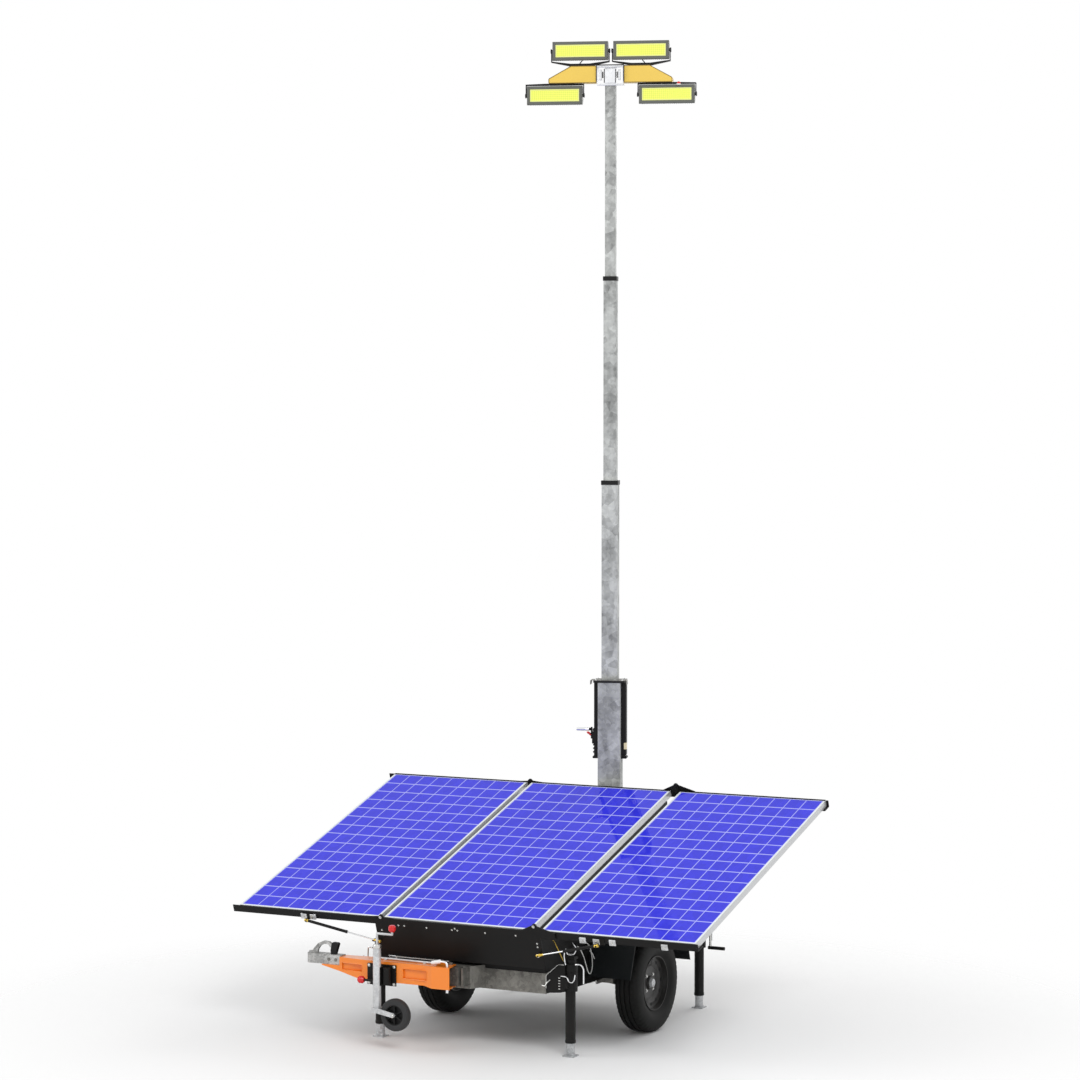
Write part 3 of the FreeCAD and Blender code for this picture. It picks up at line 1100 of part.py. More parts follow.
winch_grip = rod("winch_grip", "9",
                 "winch_reach-mast_half-guard_box-winch_wide-winch_lever/2",
                 ("-winch_reach", "0", "winch_z+winch_throw"), "x")
guard_pieces += [winch_case, winch_arm, winch_grip]
done(turn_mast(fused("mast_guards_solid", guard_pieces)), "mast_guards")

# Lamp head: bracket on the top section, two arms, four yokes and four lamps
HEAD_LOW = "third_top"
head_top = box("head_top", ("head_half*2", "head_deep", "head_plate"),
               ("-head_half", "-head_deep/2", "arm_high-head_plate"))
head_low = box("head_low", ("head_half*2", "head_deep", "head_plate"),
               ("-head_half", "-head_deep/2", HEAD_LOW))
head_core = box("head_core", ("third_half*2", "third_half*2", f"arm_high-{HEAD_LOW}"),
                ("-third_half", "-third_half", HEAD_LOW))
head_pieces = [head_top, head_low, head_core]
for name, low_x in (("left", "-head_half"), ("right", "head_half-head_plate")):
    head_pieces.append(box(f"head_side_{name}",
                           ("head_plate", "head_deep", f"arm_high-{HEAD_LOW}"),
                           (low_x, "-head_deep/2", HEAD_LOW)))
done(turn_mast(fused("head_solid", head_pieces)), "head_bracket")

arms = []
for name, sign in (("left", -1), ("right", 1)):
    profile = (
        (f"{sign}*head_half", "arm_low"), (f"{sign}*arm_tip", "arm_low"),
        (f"{sign}*arm_tip", "arm_tip_high"), (f"{sign}*arm_shoulder", "arm_high"),
        (f"{sign}*head_half", "arm_high"),
    )
    arms.append(padded(f"arm_solid_{name}", "XZ", "arm_deep", (profile,), middle=True))
done(turn_mast(grouped("arm_pair", arms)), "head_arms")

# Lamps: name, sign of X, distance from the mast, height, direction of the yoke, its seat
LAMPS = (
    ("upper_left", -1, "upper_x", "upper_z", -1, "arm_high"),
    ("upper_right", 1, "upper_x", "upper_z", -1, "arm_high"),
    ("lower_left", -1, "lower_x", "lower_z", 1, "arm_low"),
    ("lower_right", 1, "lower_x", "lower_z", 1, "arm_low"),
)
LAMP_PROFILE = (
    ("-lamp_front", "-lamp_half"), ("lamp_back*0.2", "-lamp_half"),
    ("lamp_back", "-lamp_back_half"), ("lamp_back", "lamp_back_half"),
    ("lamp_back*0.2", "lamp_half"), ("-lamp_front", "lamp_half"),
)
yokes = []
for name, sign, away, height, reach, seat in LAMPS:
    middle = f"{sign}*{away}"
    half = "(lamp_width/2+yoke_gap+yoke_plate)"
    inner = "(lamp_width/2+yoke_gap)"
    yoke_profile = (
        (f"{middle}-{half}", f"{height}-({reach})*pivot*1.3"),
        (f"{middle}-{half}", f"{height}+({reach})*yoke_shoulder"),
        (f"{middle}-yoke_base", seat), (f"{middle}+yoke_base", seat),
        (f"{middle}+{half}", f"{height}+({reach})*yoke_shoulder"),
        (f"{middle}+{half}", f"{height}-({reach})*pivot*1.3"),
        (f"{middle}+{inner}", f"{height}-({reach})*pivot*1.3"),
        (f"{middle}+{inner}", f"{height}+({reach})*(yoke_shoulder-yoke_plate*0.8)"),
        (f"{middle}+yoke_base", f"{seat}-({reach})*yoke_plate"),
        (f"{middle}-yoke_base", f"{seat}-({reach})*yoke_plate"),
        (f"{middle}-{inner}", f"{height}+({reach})*(yoke_shoulder-yoke_plate*0.8)"),
        (f"{middle}-{inner}", f"{height}-({reach})*pivot*1.3"),
    )
    band = padded(f"{name}_yoke_band", "XZ", "yoke_deep", (yoke_profile,), middle=True)
    pivot_hole = rod(f"{name}_yoke_hole", "pivot+pin_play", "lamp_width*1.2",
                     (f"{middle}-lamp_width*0.6", "0", height), "x")
    yokes.append(cut(f"{name}_yoke", band, pivot_hole))

    case = padded(f"{name}_case", "YZ", "lamp_width", (LAMP_PROFILE,), middle=True)
    place(case, middle, "0", height)
    recess = box(f"{name}_recess",
                 ("lamp_width-lamp_rim*2", "lamp_recess*2", "(lamp_half-lamp_rim)*2"),
                 (f"{middle}-lamp_width/2+lamp_rim", "-(lamp_front+lamp_recess)",
                  f"{height}-lamp_half+lamp_rim"))
    pivots = rod(f"{name}_pivots", "pivot", "lamp_width+(yoke_gap+yoke_plate)*2+4",
                 (f"{middle}-lamp_width/2-yoke_gap-yoke_plate-2", "0", height), "x")
    lamp = cut(f"{name}_lamp_cut", fused(f"{name}_lamp_solid", [case, pivots]), recess)
    done(turn_mast(grouped(f"{name}_lamp_group", [lamp])), f"{name}_lamp")
done(turn_mast(grouped("yoke_set", yokes)), "lamp_yokes")

# Rear lamps on the back of the rear beam
rear_lamps = [
    box(f"rear_lamp_{name}", ("rear_lamp_width", "rear_lamp_deep", "rear_lamp_height"),
        (low, "rear_beam+rear_deep", "beam_low+rear_lamp_rise"))
    for name, low in (
        ("left", "-(beam_half-rear_lamp_inset)"),
        ("right", "beam_half-rear_lamp_inset-rear_lamp_width"))
]
done(set_back(grouped("rear_lamp_pair", rear_lamps)), "rear_lamps")

doc.recompute()
for thing in doc.Objects:
    if {"Invalid", "Error"} & set(thing.State):
        raise RuntimeError(f"{thing.Name} is {thing.State}")
os.makedirs("parts", exist_ok=True)
whole = FreeCAD.BoundBox()
for thing in subparts:
    shape = thing.Shape
    if shape.isNull() or not shape.isValid() or not shape.Solids:
        raise RuntimeError(f"{thing.Label} has no valid solid")
    shape.exportStep(f"parts/{thing.Label}.step")
    whole.add(shape.BoundBox)
print(f"{len(subparts)} sub-parts, box {whole}")
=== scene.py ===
"""Looks of a towed solar light tower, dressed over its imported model.

Lengths are in metres. Each piece is worked out in the frame of what carries it: the ground,
the array, the folded drawbar or the turned mast, and is then seated in the part's frame.
"""

import logging
import math
from dataclasses import dataclass
from enum import Enum

import bmesh
import bpy
import numpy as np
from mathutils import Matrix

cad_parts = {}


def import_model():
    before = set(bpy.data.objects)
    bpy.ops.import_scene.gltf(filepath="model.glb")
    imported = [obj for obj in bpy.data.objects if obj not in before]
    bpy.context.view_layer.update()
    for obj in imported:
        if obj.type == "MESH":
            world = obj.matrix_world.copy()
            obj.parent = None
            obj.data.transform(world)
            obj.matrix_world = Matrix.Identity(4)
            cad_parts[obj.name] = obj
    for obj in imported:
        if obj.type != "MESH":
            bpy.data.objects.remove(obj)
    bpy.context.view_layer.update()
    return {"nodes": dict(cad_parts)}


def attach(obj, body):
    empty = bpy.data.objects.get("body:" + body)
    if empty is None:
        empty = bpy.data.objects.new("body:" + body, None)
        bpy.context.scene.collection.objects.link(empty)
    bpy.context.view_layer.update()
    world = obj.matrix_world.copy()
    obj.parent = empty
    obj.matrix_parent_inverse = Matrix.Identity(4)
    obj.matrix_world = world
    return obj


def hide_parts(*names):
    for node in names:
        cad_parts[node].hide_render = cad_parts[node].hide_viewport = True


LOG = logging.getLogger("light_tower")

SHIFT = 1.00416
TILT = math.radians(18.4)
EDGE = 0.764
YAW = math.radians(20.0)
MAST_Y = 1.990
HINGE = 0.040


def rotation(axis: int, angle: float) -> np.ndarray:
    """Matrix of a right-handed turn by angle about a coordinate axis (0, 1 or 2)."""
    cos, sin = math.cos(angle), math.sin(angle)
    first, second = (axis + 1) % 3, (axis + 2) % 3
    matrix = np.eye(3)
    matrix[first, first] = matrix[second, second] = cos
    matrix[first, second], matrix[second, first] = -sin, sin
    return matrix


class Seat(Enum):
    """Frames that pieces are drawn in: turn about an axis, then shift."""

    GROUND = (2, 0.0, (0.0, -SHIFT, 0.0))
    ARRAY = (0, TILT, (0.0, -SHIFT, EDGE))
    BAR = (2, -math.pi / 2, (-HINGE, -HINGE - SHIFT, 0.0))
    MAST = (2, YAW, (0.0, MAST_Y - SHIFT, 0.0))

    def place(self, points: np.ndarray) -> np.ndarray:
        """Carry points from this frame to the part's frame."""
        axis, angle, shift = self.value
        return np.asarray(points, float) @ rotation(axis, angle).T + np.array(shift)


@dataclass
class Shape:
    """Points and faces of a mesh in the making."""

    points: np.ndarray
    faces: list[tuple[int, ...]]

    def __add__(self, other: "Shape") -> "Shape":
        """Both shapes as one mesh."""
        start = len(self.points)
        moved = [tuple(index + start for index in face) for face in other.faces]
        return Shape(np.vstack([self.points, other.points]), self.faces + moved)

    def turned(self, axis: int, degrees: float, about: tuple = (0, 0, 0)) -> "Shape":
        """The shape turned about an axis through a point."""
        centre = np.array(about, float)
        turn = rotation(axis, math.radians(degrees))
        return Shape((self.points - centre) @ turn.T + centre, self.faces)

    def moved(self, x: float, y: float, z: float) -> "Shape":
        """The shape shifted."""
        return Shape(self.points + np.array((x, y, z)), self.faces)

    def mirrored(self) -> "Shape":
        """The shape mirrored in the plane X = 0."""
        return Shape(self.points * np.array((-1, 1, 1)), [face[::-1] for face in self.faces])


def joined(shapes: list[Shape]) -> Shape:
    """Many shapes as one mesh."""
    total = shapes[0]
    for shape in shapes[1:]:
        total = total + shape
    return total


def grid(points: np.ndarray, close_u: bool = False, close_v: bool = False,
         caps: bool = False) -> Shape:
    """Surface through a grid of points.

    Args:
        points: Array of shape (u, v, 3), a function of two parameters.
        close_u: Whether the last row joins the first.
        close_v: Whether the last column joins the first.
        caps: Whether the first and the last row are closed with a face.

    Returns:
        Four-sided faces between neighbouring rows and columns.
    """
    rows, columns = points.shape[:2]
    index = np.arange(rows * columns).reshape(rows, columns)
    if close_u:
        index = np.vstack([index, index[:1]])
    if close_v:
        index = np.hstack([index, index[:, :1]])
    quads = np.stack([index[:-1, :-1], index[:-1, 1:], index[1:, 1:], index[1:, :-1]], -1)
    faces = [tuple(quad) for quad in quads.reshape(-1, 4).tolist()]
    if caps:
        faces += [tuple(range(columns))[::-1],
                  tuple(range((rows - 1) * columns, rows * columns))]
    return Shape(points.reshape(-1, 3), faces)


def drawn_in(outline: np.ndarray, depth: float) -> np.ndarray:
    """Outline whose sides all lie depth further in: each corner moves along the sum of its two
    inward normals, divided by one plus their dot product."""
    ahead = np.roll(outline, -1, 0) - outline
    normal = np.column_stack([-ahead[:, 1], ahead[:, 0]])
    normal /= np.linalg.norm(normal, axis=1, keepdims=True)
    before = np.roll(normal, 1, 0)
    spread = 1 + (normal * before).sum(1, keepdims=True)
    return outline + depth * (normal + before) / spread


def prism(outline: np.ndarray, low: float, high: float, bevel: float = 0.0) -> Shape:
    """An outline in the XY plane carried along Z, its end edges cut at 45 degrees."""
    flat = np.asarray(outline, float)
    following = np.roll(flat, -1, 0)
    if (flat[:, 0] * following[:, 1] - following[:, 0] * flat[:, 1]).sum() < 0:
        flat = flat[::-1]
    levels = [(flat, low), (flat, high)]
    if bevel:
        small = drawn_in(flat, bevel)
        levels = [(small, low), (flat, low + bevel), (flat, high - bevel), (small, high)]
    rings = [np.column_stack([ring, np.full(len(ring), level)]) for ring, level in levels]
    return grid(np.stack(rings), close_v=True, caps=True)


def across(outline: np.ndarray, low: float, high: float, bevel: float = 0.0) -> Shape:
    """An outline in Y and Z carried along X."""
    shape = prism(outline, low, high, bevel)
    return Shape(shape.points[:, [2, 0, 1]], shape.faces)


def along(outline: np.ndarray, low: float, high: float, bevel: float = 0.0) -> Shape:
    """An outline in X and Z carried along Y."""
    shape = prism(outline, -high, -low, bevel)
    return Shape(shape.points[:, [0, 2, 1]] * np.array((1, -1, 1)), shape.faces)


def rectangle(low_a: float, low_b: float, high_a: float, high_b: float) -> np.ndarray:
    """Corners of a rectangle."""
    return np.array([(low_a, low_b), (high_a, low_b), (high_a, high_b), (low_a, high_b)])


def block(low: tuple, high: tuple, bevel: float = 0.001) -> Shape:
    """A box from its low and high corners."""
    return prism(rectangle(low[0], low[1], high[0], high[1]), low[2], high[2], bevel)


def ring_points(radius: float, sides: int, turn: float = 0.0) -> np.ndarray:
    """Points of a regular outline: radius times the cosine and sine of equal angles."""
    angle = np.arange(sides) * 2 * math.pi / sides + turn
    return radius * np.column_stack([np.cos(angle), np.sin(angle)])


def lathe(profile: list[tuple[float, float]], axis: int, centre: tuple,
          segments: int = 32, closed: bool = False) -> Shape:
    """A profile of radius and height turned about an axis through a centre.

    Args:
        profile: Radius and height pairs.
        axis: 0, 1 or 2 for X, Y or Z; heights run along it.
        centre: Point on the axis where the height is zero.
        segments: Steps of the full turn.
        closed: Whether the profile's last point joins its first.

    Returns:
        The turned surface: radius times the cosine and sine of the angle, and the height.
    """
    line = np.array(profile, float)
    angle = np.arange(segments) * 2 * math.pi / segments
    cells = np.empty((len(line), segments, 3))
    cells[..., (axis + 1) % 3] = line[:, :1] * np.cos(angle)
    cells[..., (axis + 2) % 3] = line[:, :1] * np.sin(angle)
    cells[..., axis] = line[:, 1:]
    return grid(cells + np.array(centre, float), close_u=closed, close_v=True)


def tube(path: np.ndarray, radius: float | np.ndarray, sides: int = 12) -> Shape:
    """A round section carried along a path, its frame turned as little as possible."""
    line = np.asarray(path, float)
    tangent = np.gradient(line, axis=0)
    tangent /= np.linalg.norm(tangent, axis=1, keepdims=True)
    start = np.eye(3)[np.argmin(np.abs(tangent[0]))]
    side = np.empty_like(line)
    side[0] = np.cross(tangent[0], start)
    side[0] /= np.linalg.norm(side[0])
    for step in range(1, len(line)):
        carried = side[step - 1] - tangent[step] * (side[step - 1] @ tangent[step])
        side[step] = carried / np.linalg.norm(carried)
    other = np.cross(tangent, side)
    angle = np.arange(sides) * 2 * math.pi / sides
    reach = np.broadcast_to(np.asarray(radius, float), len(line))[:, None, None]
    wheel = (side[:, None] * np.cos(angle)[:, None] + other[:, None] * np.sin(angle)[:, None])
    return grid(line[:, None] + reach * wheel, close_v=True, caps=True)


def bent(corners: list[tuple], radius: float, steps: int = 6) -> np.ndarray:
    """Path of a bent rod: straight runs whose corners are quadratic arcs, each starting a
    radius before its corner and ending a radius after it."""
    points = np.array(corners, float)
    share = np.linspace(0, 1, steps)[:, None]
    pieces = [points[:1]]
    for before, corner, after in zip(points[:-2], points[1:-1], points[2:]):
        lead = corner + (before - corner) * radius / np.linalg.norm(before - corner)
        tail = corner + (after - corner) * radius / np.linalg.norm(after - corner)
        pieces.append(lead * (1 - share) ** 2 + 2 * corner * share * (1 - share)
                      + tail * share ** 2)
    pieces.append(points[-1:])
    return np.vstack(pieces)


def flowing(corners: list[tuple], steps: int = 10) -> np.ndarray:
    """Smooth path through points: on each span the cubic whose slopes at both ends are half
    the way between the neighbours."""
    points = np.array(corners, float)
    padded = np.vstack([2 * points[0] - points[1], points, 2 * points[-1] - points[-2]])
    share = (np.arange(steps) / steps)[None, :, None]
    a, b, c, d = (padded[k:len(padded) - 3 + k, None] for k in range(4))
    span = 0.5 * (2 * b + (c - a) * share + (2 * a - 5 * b + 4 * c - d) * share ** 2
                  + (3 * b - a - 3 * c + d) * share ** 3)
    return np.vstack([span.reshape(-1, 3), points[-1:]])


def bolt(centre: tuple, axis: int, sign: int, size: float) -> Shape:
    """A washer and a chamfered hexagon head on a face, pointing along an axis."""
    washer = lathe([(0, 0), (size * 1.1, 0), (size * 1.1, size * 0.16), (0, size * 0.16)],
                   axis, (0, 0, 0), 16)
    head = lathe([(0, 0), (size * 0.82, size * 0.1), (size * 0.82, size * 0.62),
                  (size * 0.66, size * 0.74), (0, size * 0.74)], axis, (0, 0, 0), 6)
    both = washer + head
    if sign < 0:
        both = both.turned((axis + 1) % 3, 180)
    return both.moved(*centre)


def bolts(centres: list[tuple], axis: int, sign: int, size: float) -> Shape:
    """Several bolts on one face."""
    return joined([bolt(centre, axis, sign, size) for centre in centres])


@dataclass
class Signal:
    """A shader socket that takes part in arithmetic."""

    net: "ShaderNet"
    socket: bpy.types.NodeSocket

    def combine(self, operation: str, first: object, second: object) -> "Signal":
        """A Math node on two values."""
        made = self.net.node("Math", {"operation": operation}, {0: first, 1: second})
        return Signal(self.net, made.outputs[0])

    def __add__(self, other: object) -> "Signal":
        """Sum."""
        return self.combine("ADD", self, other)

    __radd__ = __add__

    def __sub__(self, other: object) -> "Signal":
        """Difference."""
        return self.combine("SUBTRACT", self, other)

    def __rsub__(self, other: object) -> "Signal":
        """Difference from a number."""
        return self.combine("SUBTRACT", other, self)

    def __mul__(self, other: object) -> "Signal":
        """Product."""
        return self.combine("MULTIPLY", self, other)

    __rmul__ = __mul__

    def __mod__(self, other: object) -> "Signal":
        """Remainder, never negative for a positive divisor."""
        return self.combine("FLOORED_MODULO", self, other)

    def __abs__(self) -> "Signal":
        """Size without its sign."""
        return self.combine("ABSOLUTE", self, 0.0)

    def most(self, other: object) -> "Signal":
        """The larger of two values."""
        return self.combine("MAXIMUM", self, other)

    def least(self, other: object) -> "Signal":
        """The smaller of two values."""
        return self.combine("MINIMUM", self, other)

    def rise(self, low: float, high: float) -> "Signal":
        """Smooth step from 0 at low to 1 at high."""
        made = self.net.node("MapRange", {"interpolation_type": "SMOOTHSTEP"},
                             {0: self, 1: low, 2: high, 3: 0.0, 4: 1.0})
        return Signal(self.net, made.outputs[0])

    def fall(self, low: float, high: float) -> "Signal":
        """Smooth step from 1 at low to 0 at high."""
        return 1.0 - self.rise(low, high)


class ShaderNet:
    """The nodes of one material."""

    def __init__(self, name: str) -> None:
        """Start a material with its standard surface shader."""
        self.material = bpy.data.materials.new(f"{name}_finish")
        self.material.use_nodes = True
        self.tree = self.material.node_tree
        self.surface = self.tree.nodes["Principled BSDF"]

    def feed(self, socket: bpy.types.NodeSocket, value: object) -> None:
        """Link a signal to a socket, or set its own value."""
        if isinstance(value, Signal):
            self.tree.links.new(value.socket, socket)
        elif isinstance(value, bpy.types.NodeSocket):
            self.tree.links.new(value, socket)
        else:
            socket.default_value = value

    def node(self, kind: str, settings: dict | None = None,
             inputs: dict | None = None) -> bpy.types.Node:
        """A node from its type, its settings and the values or links of its sockets."""
        made = self.tree.nodes.new(f"ShaderNode{kind}")
        for key, value in (settings or {}).items():
            setattr(made, key, value)
        for key, value in (inputs or {}).items():
            self.feed(made.inputs[key], value)
        return made

    def place(self, scale: tuple = (1, 1, 1), turn: tuple = (0, 0, 0),
              shift: tuple = (0, 0, 0)) -> bpy.types.NodeSocket:
        """Object coordinates, scaled, turned and then shifted."""
        coordinates = self.node("TexCoord").outputs["Object"]
        mapped = self.node("Mapping", None, {"Vector": coordinates, "Scale": scale,
                                             "Rotation": turn, "Location": shift})
        return mapped.outputs[0]

    def axes(self, vector: bpy.types.NodeSocket) -> list[Signal]:
        """The three parts of a vector."""
        split = self.node("SeparateXYZ", None, {0: vector})
        return [Signal(self, output) for output in split.outputs]

    def noise(self, scale: float, detail: float = 3.0, stretch: tuple = (1, 1, 1)) -> Signal:
        """Soft noise around one half."""
        made = self.node("TexNoise", None, {"Vector": self.place(stretch), "Scale": scale,
                                            "Detail": detail, "Roughness": 0.55})
        return Signal(self, made.outputs[0])

    def cells(self, scale: float, stretch: tuple = (1, 1, 1)) -> Signal:
        """A random grey per cell of a Voronoi pattern."""
        made = self.node("TexVoronoi", {"feature": "F1"},
                         {"Vector": self.place(stretch), "Scale": scale})
        split = self.node("SeparateColor", None, {0: made.outputs["Color"]})
        return Signal(self, split.outputs[0])

    def mix(self, share: object, first: object, second: object) -> bpy.types.NodeSocket:
        """Colour between two, by a share."""
        made = self.node("Mix", {"data_type": "RGBA", "clamp_factor": True},
                         {0: share, 6: first, 7: second})
        return made.outputs[2]

    def bump(self, height: Signal, strength: float, distance: float) -> None:
        """Light the surface as if it had this height."""
        made = self.node("Bump", None, {"Height": height, "Strength": strength,
                                        "Distance": distance})
        self.feed(self.surface.inputs["Normal"], made.outputs[0])

    def set(self, **values: object) -> None:
        """Values or links of the surface shader, spaces written as underscores."""
        for key, value in values.items():
            self.feed(self.surface.inputs[key.replace("_", " ")], value)


Colour = tuple[float, float, float]


def opaque(colour: Colour, factor: float = 1.0) -> tuple[float, float, float, float]:
    """A colour as a socket takes it, made lighter or darker."""
    red, green, blue = (min(part * factor, 1.0) for part in colour)
    return (red, green, blue, 1.0)


@dataclass(frozen=True)
class Finish:
    """A named procedural surface."""

    name: str

    def shade(self, net: ShaderNet) -> None:
        """Set the surface's values; each finish has its own."""
        raise NotImplementedError

    def build(self) -> bpy.types.Material:
        """Make the material."""
        net = ShaderNet(self.name)
        self.shade(net)
        return net.material


@dataclass(frozen=True)
class Galvanised(Finish):
    """Hot-dip zinc: spangle cells, clouds and runs, half metallic."""

    colour: Colour
    contrast: float = 0.5
    spangle: float = 34.0
    metallic: float = 0.45
    roughness: float = 0.42

    def shade(self, net: ShaderNet) -> None:
        """Set the surface's values."""
        flake = net.cells(self.spangle)
        fine = net.cells(self.spangle * 2.7)
        cloud = net.noise(5.0, 4.0, (1.6, 1.6, 0.7))
        runs = net.noise(26.0, 3.0, (1.0, 1.0, 0.18))
        tone = flake * 0.32 + fine * 0.18 + cloud.rise(0.32, 0.68) * 0.34 + runs * 0.16
        low = opaque(self.colour, 1 - self.contrast)
        high = opaque(self.colour, 1 + self.contrast)
        net.set(Base_Color=net.mix(tone, low, high), Metallic=self.metallic,
                Roughness=tone * -0.16 + (self.roughness + 0.08))
        net.bump(flake * 0.4 + net.noise(160.0, 2.0) * 0.6, 0.10, 0.0006)


@dataclass(frozen=True)
class Paint(Finish):
    """Sprayed paint: slight orange peel, faded clouds and dust low down."""

    colour: Colour
    roughness: float = 0.38
    coat: float = 0.25
    dust: float = 0.10
    specular: float = 0.5
    dust_colour: Colour = (0.30, 0.27, 0.23)

    def shade(self, net: ShaderNet) -> None:
        """Set the surface's values."""
        cloud = net.noise(4.0, 4.0)
        speck = net.noise(70.0, 5.0)
        height = net.axes(net.place())[2]
        low = height.fall(0.05, 0.75) * 0.6 + 0.4
        grime = (cloud.rise(0.45, 0.75) * 0.6 + speck.rise(0.5, 0.8) * 0.4) * low * self.dust
        base = net.mix(cloud, opaque(self.colour, 0.9), opaque(self.colour, 1.1))
        net.set(Base_Color=net.mix(grime, base, opaque(self.dust_colour)),
                Roughness=grime * 0.8 + cloud * 0.08 + self.roughness,
                Specular_IOR_Level=self.specular, Coat_Weight=self.coat, Coat_Roughness=0.12)
        net.bump(net.noise(240.0, 2.0), 0.05, 0.0004)


@dataclass(frozen=True)
class Plain(Finish):
    """Bare metal, plastic or rubber with a fine grain."""

    colour: Colour
    roughness: float = 0.4
    metallic: float = 0.0
    grain: float = 180.0
    relief: float = 0.06
    stretch: Colour = (1.0, 1.0, 1.0)
    specular: float = 0.5

    def shade(self, net: ShaderNet) -> None:
        """Set the surface's values."""
        grain = net.noise(self.grain, 3.0, self.stretch)
        cloud = net.noise(9.0, 4.0)
        tone = grain * 0.5 + cloud * 0.5
        net.set(Base_Color=net.mix(tone, opaque(self.colour, 0.8), opaque(self.colour, 1.2)),
                Metallic=self.metallic, Roughness=tone * 0.16 + (self.roughness - 0.08),
                Specular_IOR_Level=self.specular)
        net.bump(grain, self.relief, 0.0005)


@dataclass(frozen=True)
class SolarGlass(Finish):
    """Blue cells with pale gaps and fine busbars behind smooth glass, drawn in the array's
    own coordinates from the low side of one module."""

    low_x: float
    width: float = 0.992
    length: float = 1.956
    columns: int = 9
    rows: int = 15
    margin: float = 0.014
    column_gap: float = 0.0034
    row_gap: float = 0.0060
    cell: Colour = (0.036, 0.038, 0.72)
    gap: Colour = (0.42, 0.44, 0.95)
    backsheet: Colour = (0.74, 0.75, 0.77)
    shine: float = 0.09

    def shade(self, net: ShaderNet) -> None:
        """Set the surface's values."""
        back = -(rotation(0, -TILT) @ np.array((0.0, -SHIFT, EDGE)))
        east, up, out = net.axes(net.place(turn=(-TILT, 0, 0), shift=tuple(back)))
        pitch_x = (self.width - 2 * self.margin) / self.columns
        pitch_y = (self.length - 2 * self.margin) / self.rows
        inside_x = (east - (self.low_x + self.margin)) % pitch_x
        inside_y = (up - self.margin) % pitch_y
        near_x = inside_x.least(pitch_x - inside_x)
        near_y = inside_y.least(pitch_y - inside_y)
        lines = near_x.fall(self.column_gap * 0.7, self.column_gap).most(
            near_y.fall(self.row_gap * 0.7, self.row_gap))
        bars = abs((inside_x % (pitch_x / 4)) - pitch_x / 8).fall(0.0003, 0.0007)
        crystal = net.cells(36.0, (1.0, 0.6, 1.0))
        silicon = net.mix(crystal, opaque(self.cell, 0.93), opaque(self.cell, 1.07))
        wired = net.mix(bars * 0.05, silicon, opaque(self.gap))
        face = net.mix(lines, wired, opaque(self.gap))
        front = out.rise(-0.0060, -0.0040)
        net.set(Base_Color=net.mix(front, opaque(self.backsheet), face),
                Roughness=front * -0.365 + 0.40, IOR=1.48, Specular_IOR_Level=self.shine)


@dataclass(frozen=True)
class LampLens(Finish):
    """Yellow phosphor lens over a fine grid of diodes, faintly lit."""

    colour: Colour = (0.86, 0.93, 0.125)
    pitch: float = 0.0125
    glow: float = 0.12

    def shade(self, net: ShaderNet) -> None:
        """Set the surface's values."""
        shift = -(rotation(2, -YAW) @ np.array((0.0, MAST_Y - SHIFT, 0.0)))
        east, _, up = net.axes(net.place(turn=(0, 0, -YAW), shift=tuple(shift)))
        half = self.pitch / 2
        dots_x = abs((east % self.pitch) - half).fall(half * 0.62, half * 0.9)
        dots_z = abs((up % self.pitch) - half).fall(half * 0.62, half * 0.9)
        dots = dots_x * dots_z
        shade = net.mix(dots, opaque(self.colour, 0.78), opaque(self.colour, 1.04))
        net.set(Base_Color=shade, Roughness=0.16, Emission_Color=shade,
                Emission_Strength=self.glow, Coat_Weight=0.6, Coat_Roughness=0.04)


@dataclass(frozen=True)
class SignalLens(Finish):
    """Ribbed rear lens in red, amber and clear fields across its width."""

    def shade(self, net: ShaderNet) -> None:
        """Set the surface's values."""
        east, _, up = net.axes(net.place())
        reach = abs(east)
        amber = reach.rise(0.456, 0.458)
        clear = reach.fall(0.408, 0.410)
        red = net.mix(amber, opaque((0.55, 0.01, 0.01)), opaque((0.90, 0.26, 0.01)))
        ribs = abs((up % 0.006) - 0.003).rise(0.0, 0.003)
        net.set(Base_Color=net.mix(clear, red, opaque((0.75, 0.74, 0.72))), Roughness=0.14,
                Coat_Weight=0.8, Coat_Roughness=0.05)
        net.bump(ribs, 0.5, 0.002)


